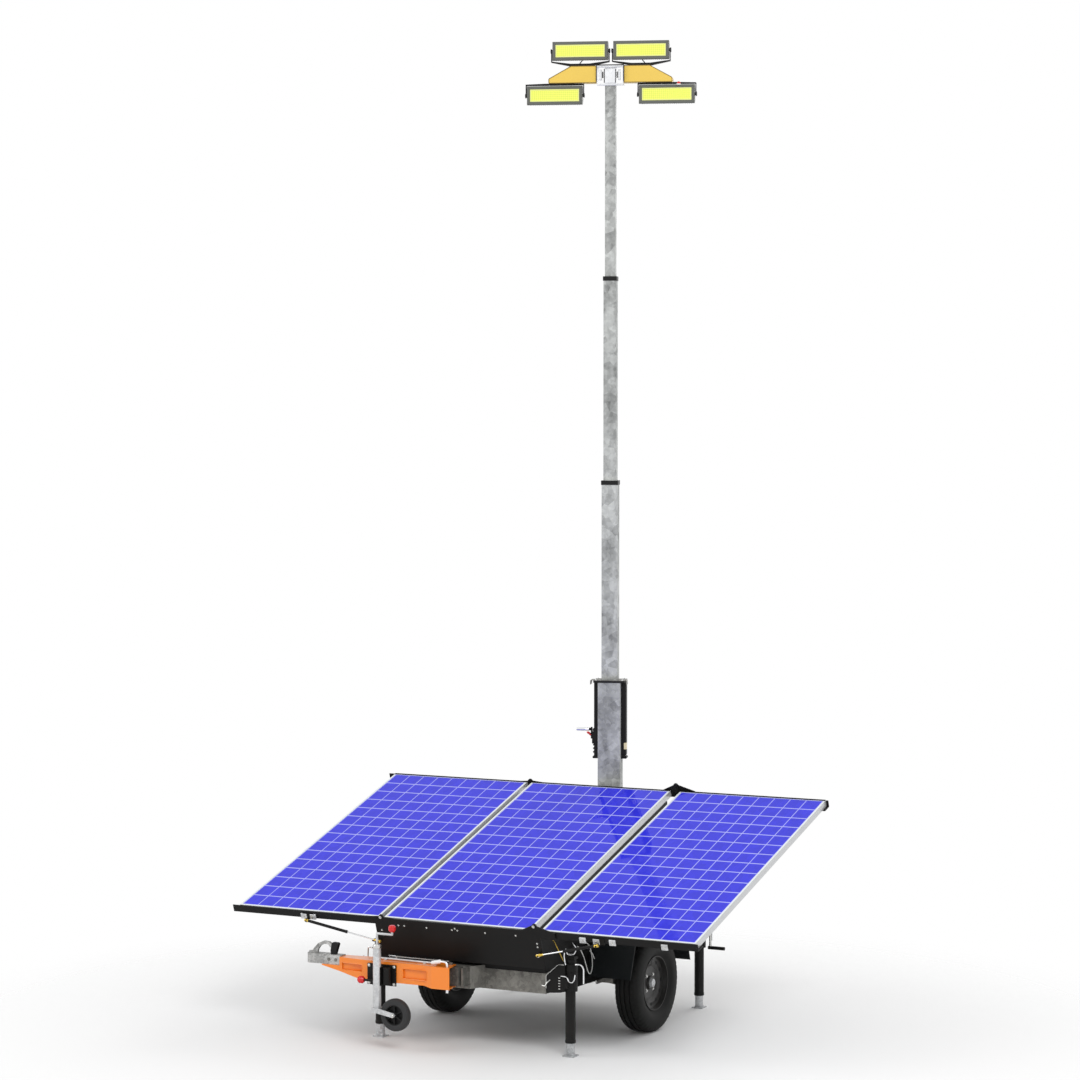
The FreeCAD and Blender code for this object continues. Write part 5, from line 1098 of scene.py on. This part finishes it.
@dataclass
class Drawbar:
    """Bolted plates, pocket rims, lever grip, lock pin and top rod of the folding drawbar."""

    half: float = 0.060
    flare: float = 0.015
    nose: float = 0.020
    nose_from: float = 0.560
    nose_run: float = 0.160
    flare_from: float = 0.124
    flare_run: float = 0.059
    clamp_y: float = -0.410
    pockets: tuple = ((-0.267, -0.103, 0.428, 0.484), (-0.700, -0.552, 0.444, 0.484))
    wall_slope: tuple = ((0.0008, 0.0012), (0.0030, 0.0050))
    wall_skin: float = 0.0008

    def build(self, nodes: dict) -> None:
        """Dress the drawbar's nodes and add its small pieces."""
        dress(nodes, {
            "drawbar": Stock.ORANGE, "ball_coupling": Stock.CAST,
            "jockey_clamp": Stock.BLACK, "jockey_knobs": Stock.RED,
            "jockey_tube": Stock.PALE,
        })
        heads = [bolt((self.half + 0.008, self.clamp_y + y, z), 0, 1, 0.0085)
                 for y in (-0.086, 0.086) for z in (0.387, 0.490)]
        piece("clamp_plate_bolts", joined(heads), Stock.BRIGHT, "drawbar", Seat.BAR)
        neck = [bolt((x, y, 0.494), 0, 1 if x > 0 else -1, 0.0095)
                for x in (0.032, -0.032) for y in (-0.752, -0.800)]
        piece("coupling_bolts", joined(neck), Stock.ZINC, "drawbar", Seat.BAR)
        grip = np.array([(-0.801, 0.543), (-0.793, 0.588), (-0.783, 0.595), (-0.750, 0.593),
                         (-0.745, 0.585), (-0.769, 0.510), (-0.797, 0.510)])
        piece("coupling_grip", across(grip, -0.0145, 0.0145, 0.003), Stock.PLASTIC, "drawbar",
              Seat.BAR)
        self.pocket_rims()
        self.lock_pin()
        self.top_rod()
        LOG.info("drawbar: plates, rims, lock pin and rod")

    def face(self, y: np.ndarray) -> np.ndarray:
        """How far the web stands from the middle at Y: flared at the hinge, drawn in along a
        straight taper towards the nose."""
        nose = np.clip((-y - self.nose_from) / self.nose_run, 0, 1)
        flare = np.clip((y + self.flare_from) / self.flare_run, 0, 1)
        return self.half - self.nose * nose + self.flare * flare

    def pocket_rims(self) -> None:
        """Raised rims round the pressed pockets of the right web, a loop with a rounded
        section that dips into the pocket, and the sloped walls inside them in a darker orange
        that is painted shade."""
        rims = []
        walls = []
        for low_y, high_y, low_z, high_z in self.pockets:
            outline = drawn_in(rectangle(low_y, low_z, high_y, high_z), -0.001)
            slope = []
            for depth, deep in self.wall_slope:
                drawn = drawn_in(outline, depth)
                slope.append(np.column_stack([self.face(drawn[:, 0]) - deep, drawn]))
            behind = [ring - (self.wall_skin, 0, 0) for ring in slope[::-1]]
            walls.append(grid(np.stack(slope + behind), close_u=True, close_v=True))
            ring = []
            for depth, proud in ((-0.004, -0.0010), (-0.003, 0.0012), (-0.001, 0.0020),
                                 (0.001, 0.0012), (0.002, -0.0040)):
                drawn = drawn_in(outline, depth)
                ring.append(np.column_stack([self.face(drawn[:, 0]) + proud, drawn]))
            rims.append(grid(np.stack(ring), close_u=True, close_v=True))
        piece("drawbar_pocket_rims", joined(rims), Stock.ORANGE, "drawbar", Seat.BAR)
        # The pocket walls take the darker orange as painted shade.
        piece("drawbar_pocket_walls", joined(walls), Stock.SHADE, "drawbar", Seat.BAR)

    def lock_pin(self) -> None:
        """The lock pin with its bent handle, in one rod, and the white sleeve on it."""
        path = bent([(0.040, 0.022, 0.362), (0.040, 0.022, 0.541), (0.040, -0.018, 0.545),
                     (0.040, -0.080, 0.531)], 0.018)
        rod = piece("lock_pin_rod", tube(path, 0.0080, 16), Stock.CHROME, "drawbar", Seat.BAR)
        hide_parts("drawbar_lock_pin")
        sleeve = np.array([(0.040, -0.022, 0.5446), (0.040, -0.025, 0.5440),
                           (0.040, -0.079, 0.5316), (0.040, -0.083, 0.5305)])
        piece("lock_pin_sleeve", tube(sleeve, np.array((0.0092, 0.0122, 0.0122, 0.0092)), 16),
              Stock.WHITE, "drawbar", Seat.BAR)

    def top_rod(self) -> None:
        """The long rod that lies on the drawbar, and its saddles."""
        rod = bent([(-0.010, -0.500, 0.517), (-0.010, -0.470, 0.523), (-0.002, -0.100, 0.5235),
                    (0.006, -0.070, 0.517)], 0.014)
        piece("drawbar_top_rod", tube(rod, 0.0064, 12), Stock.PALE, "drawbar", Seat.BAR)
        saddles = joined([block((-0.022, y - 0.009, 0.5155), (0.014, y + 0.009, 0.5200), 0.001)
                          for y in (-0.420, -0.150)])
        piece("drawbar_saddles", saddles, Stock.BRIGHT, "drawbar", Seat.BAR)


@dataclass
class JockeyWheel:
    """Spoked castor wheel and the tube's small parts."""

    side: float = 0.120
    ahead: float = -0.410
    axle: tuple = (-0.282, 0.219)
    radius: float = 0.097
    width: float = 0.048

    def build(self, nodes: dict) -> None:
        """Replace the wheel by a tyre on a spoked rim, and dress the rest."""
        dress(nodes, {"jockey_stem": Stock.ZINC, "jockey_fork": Stock.PALE})
        centre = (self.side, *self.axle)
        half = self.width / 2
        round_off = ((0.63, 0.9), (0.78, 1.0), (0.935, 0.9), (0.991, 0.55))
        right = [(self.radius * out, half * share) for out, share in round_off]
        left = [(out, -share) for out, share in right]
        tyre = lathe(left + [(self.radius, 0.0)] + right[::-1], 0, centre, 56, closed=True)
        rubber = piece("jockey_tyre", tyre, Stock.WHEEL, "jockey_wheel", Seat.BAR)
        hub = lathe([(0.0084, -half * 0.9), (0.018, -half * 0.9), (0.018, half * 0.9),
                     (0.0084, half * 0.9)], 0, centre, 28, closed=True)
        seat = self.radius * 0.636
        band = lathe([(seat - 0.0065, -half * 0.86), (seat, -half * 0.86),
                      (seat, half * 0.86), (seat - 0.0065, half * 0.86)], 0, centre, 48,
                     closed=True)
        web = lathe([(0.016, -0.0025), (seat - 0.004, -0.0025), (seat - 0.004, 0.0025),
                     (0.016, 0.0025)], 0, centre, 40, closed=True)
        spoke = block((self.side - half * 0.78, self.axle[0] - 0.0035, self.axle[1] + 0.015),
                      (self.side + half * 0.78, self.axle[0] + 0.0035,
                       self.axle[1] + seat - 0.004), 0.001)
        spokes = joined([spoke.turned(0, 60 * k, centre) for k in range(6)])
        rim = piece("jockey_rim", hub + band + web + spokes, Stock.PLASTIC, "jockey_wheel",
                    Seat.BAR)
        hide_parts("jockey_wheel")
        LOG.info("jockey wheel: %s on %s", rubber.name, rim.name)
        nut = bolt((self.side + 0.039, *self.axle), 0, 1, 0.011)
        nut += bolt((self.side - 0.039, *self.axle), 0, -1, 0.011)
        piece("jockey_axle_nuts", nut, Stock.BRIGHT, "jockey_fork", Seat.BAR)
        cap = lathe([(0.0, 0.626), (0.012, 0.630), (0.020, 0.628), (0.0256, 0.620),
                     (0.0262, 0.606), (0.0242, 0.604), (0.0, 0.604)], 2,
                    (self.side, self.ahead, 0.0), 28)
        piece("jockey_tube_cap", cap, Stock.BRIGHT, "drawbar", Seat.BAR)


@dataclass
class StabiliserLegs:
    """Clamps, bent handles, crank rods and foot details of the four legs."""

    x: float = 0.648
    front: float = 0.209
    rear: float = 1.960

    def build(self, nodes: dict) -> None:
        """Dress the legs and add their handles."""
        for name, sign, y in (("front_left", -1, self.front), ("front_right", 1, self.front),
                              ("rear_left", -1, self.rear), ("rear_right", 1, self.rear)):
            dress(nodes, {f"{name}_leg_sleeve": Stock.BLACK, f"{name}_leg_foot": Stock.FOOT})
            body = f"{name}_leg"
            self.collars(name, sign, y, body)
            self.clamp(name, sign, y)
            if name.startswith("rear"):
                self.crank(name, sign, y, body)
        LOG.info("stabiliser legs: 4")

    def collars(self, name: str, sign: int, y: float, body: str) -> None:
        """Rolled edge at the sleeve's mouth, foot ribs and the spindle's cap."""
        x = sign * self.x
        roll = lathe([(0.0275, 0.080), (0.0305, 0.0795), (0.0318, 0.083), (0.0318, 0.096),
                      (0.0302, 0.099)], 2, (x, y, 0.0), 32, closed=True)
        piece(f"{name}_sleeve_roll", roll, Stock.BLACK, body)
        ribs = []
        for turn in (0, 90, 180, 270):
            rib = along(np.array([(0.0250, 0.0078), (0.0310, 0.0078), (0.0252, 0.022)]),
                        -0.002, 0.002)
            ribs.append(rib.turned(2, turn + 45).moved(x, y, 0.0))
        piece(f"{name}_foot_ribs", joined(ribs), Stock.FOOT, body)
        cap = lathe([(0.0, 0.5862), (0.010, 0.586), (0.020, 0.5825), (0.030, 0.5795),
                     (0.0344, 0.5735), (0.0, 0.5735)], 2, (x, y, 0.0), 28)
        piece(f"{name}_sleeve_cap", cap, Stock.PLASTIC, body)

    def clamp(self, name: str, sign: int, y: float) -> None:
        """Swivel clamp with its bright bent handles, on the bracket."""
        x = sign * self.x
        rim = lathe([(0.0312, 0.500), (0.0400, 0.500), (0.0425, 0.503), (0.0425, 0.546),
                     (0.0400, 0.549), (0.0312, 0.549)], 2, (x, y, 0.0), 32, closed=True)
        lug = block((x - 0.012, y - 0.064, 0.405), (x + 0.012, y - 0.036, 0.470), 0.004)
        piece(f"{name}_clamp", rim + lug, Stock.BLACK, "chassis")
        face = y - 0.079
        hook = bent([(0.624, y - 0.040, 0.483), (0.622, face, 0.483), (0.664, face, 0.481),
                     (0.678, face, 0.454), (0.699, face, 0.448), (0.714, face, 0.466),
                     (0.719, face, 0.497)], 0.008)
        lever = bent([(0.690, y - 0.030, 0.552), (0.716, face, 0.557), (0.758, face, 0.560),
                      (0.775, face, 0.538), (0.775, face, 0.449)], 0.012)
        if name == "front_left":
            lever = bent([(0.655, y - 0.030, 0.530), (0.661, face, 0.549),
                          (0.687, face, 0.550), (0.690, face, 0.455)], 0.008)
        rods = tube(hook, 0.0034, 10) + tube(lever, 0.0040, 10)
        if name.startswith("front"):
            self.bracket_face(name, sign, y)
        if name == "front_right":
            upper = flowing([(0.640, face + 0.03, 0.545), (0.636, face + 0.02, 0.600),
                             (0.646, face + 0.02, 0.640), (0.660, face + 0.02, 0.612),
                             (0.700, face + 0.02, 0.616), (0.714, face + 0.02, 0.650),
                             (0.690, face + 0.02, 0.680)], 6)
            rods += tube(upper, 0.0038, 8)
        piece(f"{name}_clamp_handles", rods if sign > 0 else rods.mirrored(), Stock.CHROME,
              "chassis")

    def bracket_face(self, name: str, sign: int, y: float) -> None:
        """Plate before a front leg's bracket, with bright rods along its edges that are a painted
        highlight, and a spring clip.
        """
        plate = along(np.array([(0.518, 0.372), (0.609, 0.380), (0.640, 0.388),
                                (0.640, 0.545), (0.600, 0.545), (0.572, 0.520),
                                (0.530, 0.480), (0.518, 0.476)]),
                      y - 0.058, y - 0.0455, 0.002)
        # Bright rods along the plate's left and top edges are a painted highlight.
        edge = bent([(0.5175, y - 0.059, 0.400), (0.5175, y - 0.059, 0.477),
                     (0.570, y - 0.059, 0.521), (0.598, y - 0.059, 0.546),
                     (0.636, y - 0.059, 0.546)], 0.008)
        clip = bent([(0.497, y - 0.070, 0.417), (0.517, y - 0.074, 0.413),
                     (0.530, y - 0.070, 0.437), (0.545, y - 0.060, 0.452)], 0.006)
        bright = tube(edge, 0.0026, 8) + tube(clip, 0.0040, 8)
        teeth = joined([block((0.600, y - 0.062, z), (0.612, y - 0.057, z + 0.006), 0.001)
                        for z in (0.400, 0.416, 0.432, 0.448, 0.464)])
        bright = bright + teeth
        cover = block((0.617, y - 0.030, 0.576), (0.690, y + 0.018, 0.592), 0.004)
        for part, shape, stock in (("bracket_plate", plate, Stock.BLACK),
                                   ("bracket_edges", bright, Stock.BRIGHT),
                                   ("clamp_lever", cover, Stock.BLACK)):
            body = f"{name}_leg" if part == "clamp_lever" else "chassis"
            piece(f"{name}_{part}", shape if sign > 0 else shape.mirrored(), stock, body)

    def crank(self, name: str, sign: int, y: float, body: str) -> None:
        """Bright crank rod over the leg's plain one."""
        path = bent([(sign * (self.x + 0.030), y, 0.565), (sign * (self.x + 0.078), y, 0.565),
                     (sign * (self.x + 0.078), y, 0.399)], 0.012)
        piece(f"{name}_crank_rod", tube(path, 0.0082, 12), Stock.BRIGHT, body)


@dataclass
class Mast:
    """Collar, winch, guard teeth and section caps of the mast."""

    half: float = 0.073
    guard: float = 0.028
    winch_z: float = 1.682
    sections: tuple = (("mast_first_section", 0.0515, 3.327),
                       ("mast_second_section", 0.0415, 4.627))

    def build(self, nodes: dict) -> None:
        """Dress the mast's nodes and add what it carries."""
        dress(nodes, {
            "mast_base": Stock.MAST, "mast_guards": Stock.BLACK,
            "mast_first_section": Stock.MAST, "mast_second_section": Stock.MAST,
            "mast_third_section": Stock.MAST,
        })
        self.collar()
        self.guards()
        self.winch()
        for body, half, top in self.sections:
            outer = rectangle(-half - 0.003, -half - 0.003, half + 0.003, half + 0.003)
            levels = ((0.0, top - 0.024), (0.0, top + 0.0035), (0.004, top + 0.0035),
                      (half * 0.19 + 0.004, top + 0.0035), (half * 0.19 + 0.004, top - 0.001),
                      (0.0034, top - 0.001), (0.0034, top - 0.024))
            rings = np.stack([np.column_stack([drawn_in(outer, depth), np.full(4, level)])
                              for depth, level in levels])
            piece(f"{body}_cap", grid(rings, close_u=True, close_v=True), Stock.PLASTIC, body,
                  Seat.MAST)
        LOG.info("mast: collar, guards, winch and caps")

    def collar(self) -> None:
        """Plate over the guards with turned-down ends and its bolts."""
        wide = self.half + self.guard
        plate = []
        for sign, hook in ((-1, 0.022), (1, 0.004)):
            profile = np.array([(sign * 0.054, 2.0512), (sign * (wide + hook - 0.006), 2.0512),
                                (sign * (wide + hook - 0.003), 2.048),
                                (sign * (wide + hook), 2.024),
                                (sign * (wide + hook + 0.004), 2.024),
                                (sign * (wide + hook + 0.003), 2.049),
                                (sign * (wide + hook - 0.003), 2.0550),
                                (sign * 0.054, 2.0550)])
            plate.append(along(profile, -0.034, 0.034, 0.0008))
        for sign in (-1, 1):
            low, high = sorted((sign * 0.0555, sign * 0.078))
            plate.append(block((-wide, low, 2.0512), (wide, high, 2.0550), 0.0008))
        piece("mast_collar", joined(plate), Stock.ZINC, "mast_base", Seat.MAST)
        heads = bolts([(x, y, 2.0550) for x in (-0.084, 0.084) for y in (-0.067, 0.067)],
                      2, 1, 0.007)
        piece("mast_collar_bolts", heads, Stock.CHROME, "mast_base", Seat.MAST)

    def guards(self) -> None:
        """Teeth on the left guard, a rounded cover and a latch on the right, feet on both."""
        outer = self.half + self.guard
        teeth = [block((-(outer + 0.007), -0.028, z), (-(outer - 0.001), 0.028, z + 0.011),
                       0.002) for z in np.arange(1.585, 1.700, 0.023)]
        lug = block((-(outer + 0.010), -0.020, 1.722), (-(outer - 0.001), 0.020, 1.742), 0.004)
        piece("guard_teeth", joined(teeth) + lug, Stock.PLASTIC, "mast_base", Seat.MAST)
        angle = np.linspace(0, math.pi / 2, 8)
        corner = np.column_stack([outer - 0.0155 + 0.020 * np.cos(angle),
                                  2.018 + 0.020 * np.sin(angle)])
        outline = np.vstack([[(self.half + 0.001, 1.574), (outer + 0.0045, 1.574)], corner,
                             [(self.half + 0.001, 2.038)]])
        feet = joined([block((low, -0.036, 1.550), (low + self.guard + 0.009, 0.036, 1.566),
                             0.004) for low in (self.half, -(outer + 0.009))])
        cover = along(outline, -0.0335, 0.0335, 0.003) + feet
        piece("guard_cover", cover, Stock.BLACK, "mast_base", Seat.MAST)
        latch = block((outer - 0.0085, -0.0372, 1.610), (outer + 0.0085, -0.006, 1.652), 0.0015)
        piece("guard_latch", latch, Stock.CREAM, "mast_base", Seat.MAST)

    def winch(self) -> None:
        """Red pawl lever, its fork and the bright handle of the winch."""
        z = self.winch_z
        fork = tube(bent([(-0.104, -0.012, z + 0.004), (-0.122, -0.016, z + 0.018),
                          (-0.130, -0.018, z + 0.026)], 0.006), 0.0075, 10)
        piece("winch_fork", fork, Stock.PLASTIC, "mast_base", Seat.MAST)
        lever = tube(bent([(-0.122, -0.017, z + 0.016), (-0.141, -0.020, z + 0.034),
                           (-0.147, -0.020, z + 0.030)], 0.006), 0.0070, 10)
        piece("winch_pawl", lever, Stock.RED, "mast_base", Seat.MAST)
        line = np.array([[-0.136], [-0.140], [-0.211], [-0.218]]) * np.array((1.0, 0.0, 0.0))
        handle = tube(line + np.array((0.0, 0.0, z + 0.052)),
                      np.array((0.0085, 0.0108, 0.0108, 0.0085)), 16)
        piece("winch_handle", handle, Stock.CHROME, "mast_base", Seat.MAST)


@dataclass
class LampHead:
    """Bezels, lenses, fins and wiring of the four lamps, and the head's box."""

    lamp_width: float = 0.355
    lamp_half: float = 0.059
    rim: float = 0.020
    border: float = 0.007
    front: float = -0.020
    arm: tuple = ((0.087, 5.858), (0.390, 5.858), (0.396, 5.864), (0.396, 5.882),
                  (0.391, 5.890), (0.252, 5.966), (0.087, 5.966))
    lamps: tuple = (("upper_left", -0.195, 6.063), ("upper_right", 0.195, 6.063),
                    ("lower_left", -0.359, 5.783), ("lower_right", 0.359, 5.783))
    yoke_end: float = 0.1860
    yoke_foot: float = 0.060
    yoke_shoulder: float = 0.0705
    yoke_clear: float = 0.0650

    def build(self, nodes: dict) -> None:
        """Dress the head and build each lamp."""
        dress(nodes, {"head_bracket": Stock.HEAD, "head_arms": Stock.YELLOW,
                      "lamp_yokes": Stock.BLACK})
        for name, x, z in self.lamps:
            dress(nodes, {f"{name}_lamp": Stock.CASE})
            self.lamp(name, x, z)
        self.yoke_flanges()
        self.bracket()
        self.arm_edges()
        self.marker()
        LOG.info("lamp head: %d lamps", len(self.lamps))

    def frame(self, x: float, z: float, levels: tuple) -> Shape:
        """A mitred frame about a lamp's face, from depth and level pairs."""
        half, high = self.lamp_width / 2, self.lamp_half
        outer = rectangle(-half, -high, half, high)
        rings = []
        for depth, level in levels:
            drawn = drawn_in(outer, depth)
            rings.append(np.column_stack([drawn[:, 0] + x, np.full(4, level), drawn[:, 1] + z]))
        return grid(np.stack(rings), close_u=True, close_v=True)

    def lamp(self, name: str, x: float, z: float) -> None:
        """Bezel, lens border, lens, screws, cooling fins and tilt knobs of one lamp."""
        body = f"{name}_lamp"
        half, high = self.lamp_width / 2, self.lamp_half
        front, rim = self.front, self.rim
        bezel = self.frame(x, z, ((0.0, front + 0.004), (0.0, front - 0.0005),
                                  (0.003, front - 0.003), (rim - 0.003, front - 0.003),
                                  (rim + 0.001, front + 0.004)))
        piece(f"{name}_bezel", bezel, Stock.CASE, body, Seat.MAST)
        strip = self.frame(x, z, ((rim - 0.001, front + 0.0012), (rim, front - 0.0006),
                                  (rim + self.border, front - 0.0006),
                                  (rim + self.border, front + 0.0012)))
        piece(f"{name}_lens_border", strip, Stock.BORDER, body, Seat.MAST)
        inner = half - rim + 0.001
        tall = high - rim + 0.001
        lens = along(rectangle(x - inner, z - tall, x + inner, z + tall), front + 0.0005,
                     front + 0.0055, 0.0015)
        piece(f"{name}_lens", lens, Stock.LENS, body, Seat.MAST)
        heads = bolts([(x + a, front - 0.003, z + b)
                       for a in (-half + 0.009, half - 0.009)
                       for b in (-high + 0.009, high - 0.009)], 1, -1, 0.004)
        piece(f"{name}_bezel_screws", heads, Stock.CASE, body, Seat.MAST)
        fins = [across(np.array([(0.006, z + side * (high - 0.0015)), (0.034, z + side * 0.0335),
                                 (0.034, z), (0.0365, z), (0.0385, z + side * 0.036),
                                 (0.008, z + side * (high + 0.002))]),
                       x + at - 0.0012, x + at + 0.0012)
                for at in np.linspace(-0.156, 0.156, 24) for side in (-1, 1)]
        piece(f"{name}_fins", joined(fins), Stock.CASE, body, Seat.MAST)
        disc = lathe([(0, 0), (0.0155, 0), (0.0155, 0.003), (0.012, 0.0045), (0, 0.0045)], 0,
                     (0, 0, 0), 24)
        knobs = joined([disc.moved(x + half + 0.0091, 0.0, z),
                        disc.turned(2, 180).moved(x - half - 0.0091, 0.0, z)])
        piece(f"{name}_tilt_knobs", knobs, Stock.PLASTIC, body, Seat.MAST)

    def yoke_flanges(self) -> None:
        """Folded flanges along both edges of each yoke, as tall as the lamp's tilt allows."""
        flanges = []
        heads = []
        for name, x, z in self.lamps:
            upper = name.startswith("upper")
            turn = -1 if upper else 1
            end, foot, seat = self.yoke_end, self.yoke_foot, self.arm[-1 if upper else 0][1]
            shoulder, near = z + turn * self.yoke_shoulder, z + turn * self.yoke_clear
            deep = 0.016 if upper else 0.0105
            outline = np.array([(-end, shoulder), (-foot, seat - turn * 0.0004),
                                (foot, seat - turn * 0.0004), (end, shoulder), (end, near),
                                (foot, seat - turn * deep), (-foot, seat - turn * deep),
                                (-end, near)])
            outline[:, 0] += x
            flanges += [along(outline, low, low + 0.003) for low in (-0.0205, 0.0175)]
            heads += [bolt((x + at, 0.0, seat - turn * 0.004), 2, -turn, 0.007)
                      for at in (-0.034, 0.034)]
        piece("yoke_flanges", joined(flanges), Stock.BLACK, "mast_third_section", Seat.MAST)
        piece("yoke_bolts", joined(heads), Stock.BRIGHT, "mast_third_section", Seat.MAST)

    def bracket(self) -> None:
        """Guide block, clamp bars and bolts in the middle of the head."""
        core = along(rectangle(-0.036, 5.852, 0.036, 5.946), -0.047, -0.036, 0.004)
        ears = joined([along(rectangle(x - 0.008, 5.872, x + 0.008, 5.940), -0.045, -0.030,
                             0.004) for x in (-0.060, 0.060)])
        bars = joined([block((-0.084, -0.048, z), (0.084, -0.041, z + 0.008), 0.003)
                       for z in (5.838, 5.952)])
        piece("head_core", core + ears + bars, Stock.HEAD, "mast_third_section", Seat.MAST)
        slots = joined([along(rectangle(x - 0.004, 5.886, x + 0.004, 5.926), -0.0462, -0.0440,
                              0.0008) for x in (-0.046, 0.046)])
        slots += joined([block((x - 0.0016, -0.0480, 5.856), (x + 0.0016, -0.0430, 5.944), 0.0006)
                         for x in (-0.0375, 0.0375)])
        sides = joined([block((low, -0.046, 5.866), (low + 0.005, 0.046, 5.968), 0.001)
                        for low in (-0.0895, 0.0845)])
        tie = block((-0.088, -0.046, 5.966), (0.088, 0.046, 5.972), 0.002)
        piece("head_side_plates", sides + tie + slots, Stock.PLASTIC, "mast_third_section",
              Seat.MAST)
        pins = bolts([(x, -0.045, z) for x in (-0.060, 0.060) for z in (5.885, 5.928)], 1, -1,
                     0.0060)
        piece("head_bolts", pins, Stock.CHROME, "mast_third_section", Seat.MAST)

    def marker(self) -> None:
        """A small red light on a white foot, on the lower right lamp's yoke."""
        _, x, z = self.lamps[3]
        at = x + 0.078
        low = z + self.lamp_half - 0.004
        foot = block((at - 0.014, -0.046, low), (at + 0.014, -0.020, low + 0.007), 0.002)
        cap = lathe([(0, 0.007), (0.011, 0.007), (0.011, 0.015), (0.006, 0.021), (0, 0.022)], 2,
                    (at, -0.033, low), 20)
        piece("marker_foot", foot, Stock.WHITE, "mast_third_section", Seat.MAST)
        piece("marker_light", cap, Stock.RED, "mast_third_section", Seat.MAST)

    def arm_edges(self) -> None:
        """Folded edges of the arms, painted darker as shade, their boxes and the lamps' leads."""
        frames = []
        boxes = []
        leads = []
        for sign in (-1, 1):
            outline = np.array([(sign * x, z) for x, z in self.arm])[::sign]
            for face, out in ((-0.032, -1), (0.032, 1)):
                rings = []
                for depth, proud in ((-0.0006, -0.001), (-0.0006, 0.0022), (0.0032, 0.0022),
                                     (0.0040, -0.001)):
                    drawn = drawn_in(outline, depth)
                    rings.append(np.column_stack([drawn[:, 0],
                                                  np.full(len(drawn), face + out * proud),
                                                  drawn[:, 1]]))
                frames.append(grid(np.stack(rings), close_u=True, close_v=True))
            low, high = sorted((sign * 0.10, sign * 0.20))
            boxes.append(block((low, 0.0335, 5.872), (high, 0.066, 5.954), 0.004))
            for x, z, drop in ((sign * 0.195, 6.022, 5.946), (sign * 0.359, 5.866, 5.890)):
                leads.append(tube(flowing([(x, 0.030, z), (x - sign * 0.012, 0.062, z),
                                           (sign * 0.212, 0.074, (z + drop) / 2),
                                           (sign * 0.205, 0.056, drop),
                                           (sign * 0.196, 0.050, drop)]), 0.0035, 8))
        # The arms' edges take the dark copy of their yellow as painted shade.
        piece("arm_edges", joined(frames), Stock.EDGE, "mast_third_section", Seat.MAST)
        piece("driver_boxes", joined(boxes), Stock.PLASTIC, "mast_third_section", Seat.MAST)
        piece("lamp_leads", joined(leads), Stock.WIRE, "mast_third_section", Seat.MAST)


@dataclass
class Cables:
    """Free grey cables that hang beside the cabinet, from gland to gland."""

    diameter: float = 0.0062
    runs: tuple = (
        ("front_loop", ((0.5015, 0.556, 0.590), (0.524, 0.564, 0.572), (0.531, 0.601, 0.517),
                        (0.531, 0.628, 0.470), (0.531, 0.658, 0.420), (0.531, 0.690, 0.404),
                        (0.531, 0.714, 0.450), (0.531, 0.702, 0.520), (0.524, 0.686, 0.572),
                        (0.5015, 0.682, 0.590))),
        ("rear_loop", ((0.5015, 0.906, 0.574), (0.524, 0.898, 0.556), (0.534, 0.848, 0.504),
                       (0.536, 0.790, 0.471), (0.534, 0.742, 0.482), (0.524, 0.724, 0.520),
                       (0.5015, 0.720, 0.540))),
    )

    def build(self) -> None:
        """Hang each cable and seat its glands."""
        for name, corners in self.runs:
            path = Seat.GROUND.place(flowing(list(corners), 8))
            shape = tube(flowing(list(corners), 8), self.diameter / 2, 10)
            cable = piece(f"{name}_cable", shape, Stock.CABLE, "chassis")
            glands = [lathe([(0, 0), (0.0085, 0), (0.0085, 0.003), (0.0060, 0.006),
                             (0.0060, 0.009), (0, 0.009)], 0, (0.4998, end[1], end[2]), 16)
                      for end in (corners[0], corners[-1])]
            piece(f"{name}_glands", joined(glands), Stock.PLASTIC, "chassis")


def main() -> None:
    """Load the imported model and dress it."""
    logging.basicConfig(level=logging.INFO, format="%(name)s: %(message)s")
    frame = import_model()
    nodes = frame["nodes"]
    Studio().build()
    Cables().build()
    SolarArray().build(nodes)
    GasStruts().build(nodes)
    Cabinet().build()
    Chassis().build(nodes)
    RoadWheels().build(nodes)
    Drawbar().build(nodes)
    JockeyWheel().build(nodes)
    StabiliserLegs().build(nodes)
    Mast().build(nodes)
    LampHead().build(nodes)


if __name__ == "__main__":
    main()
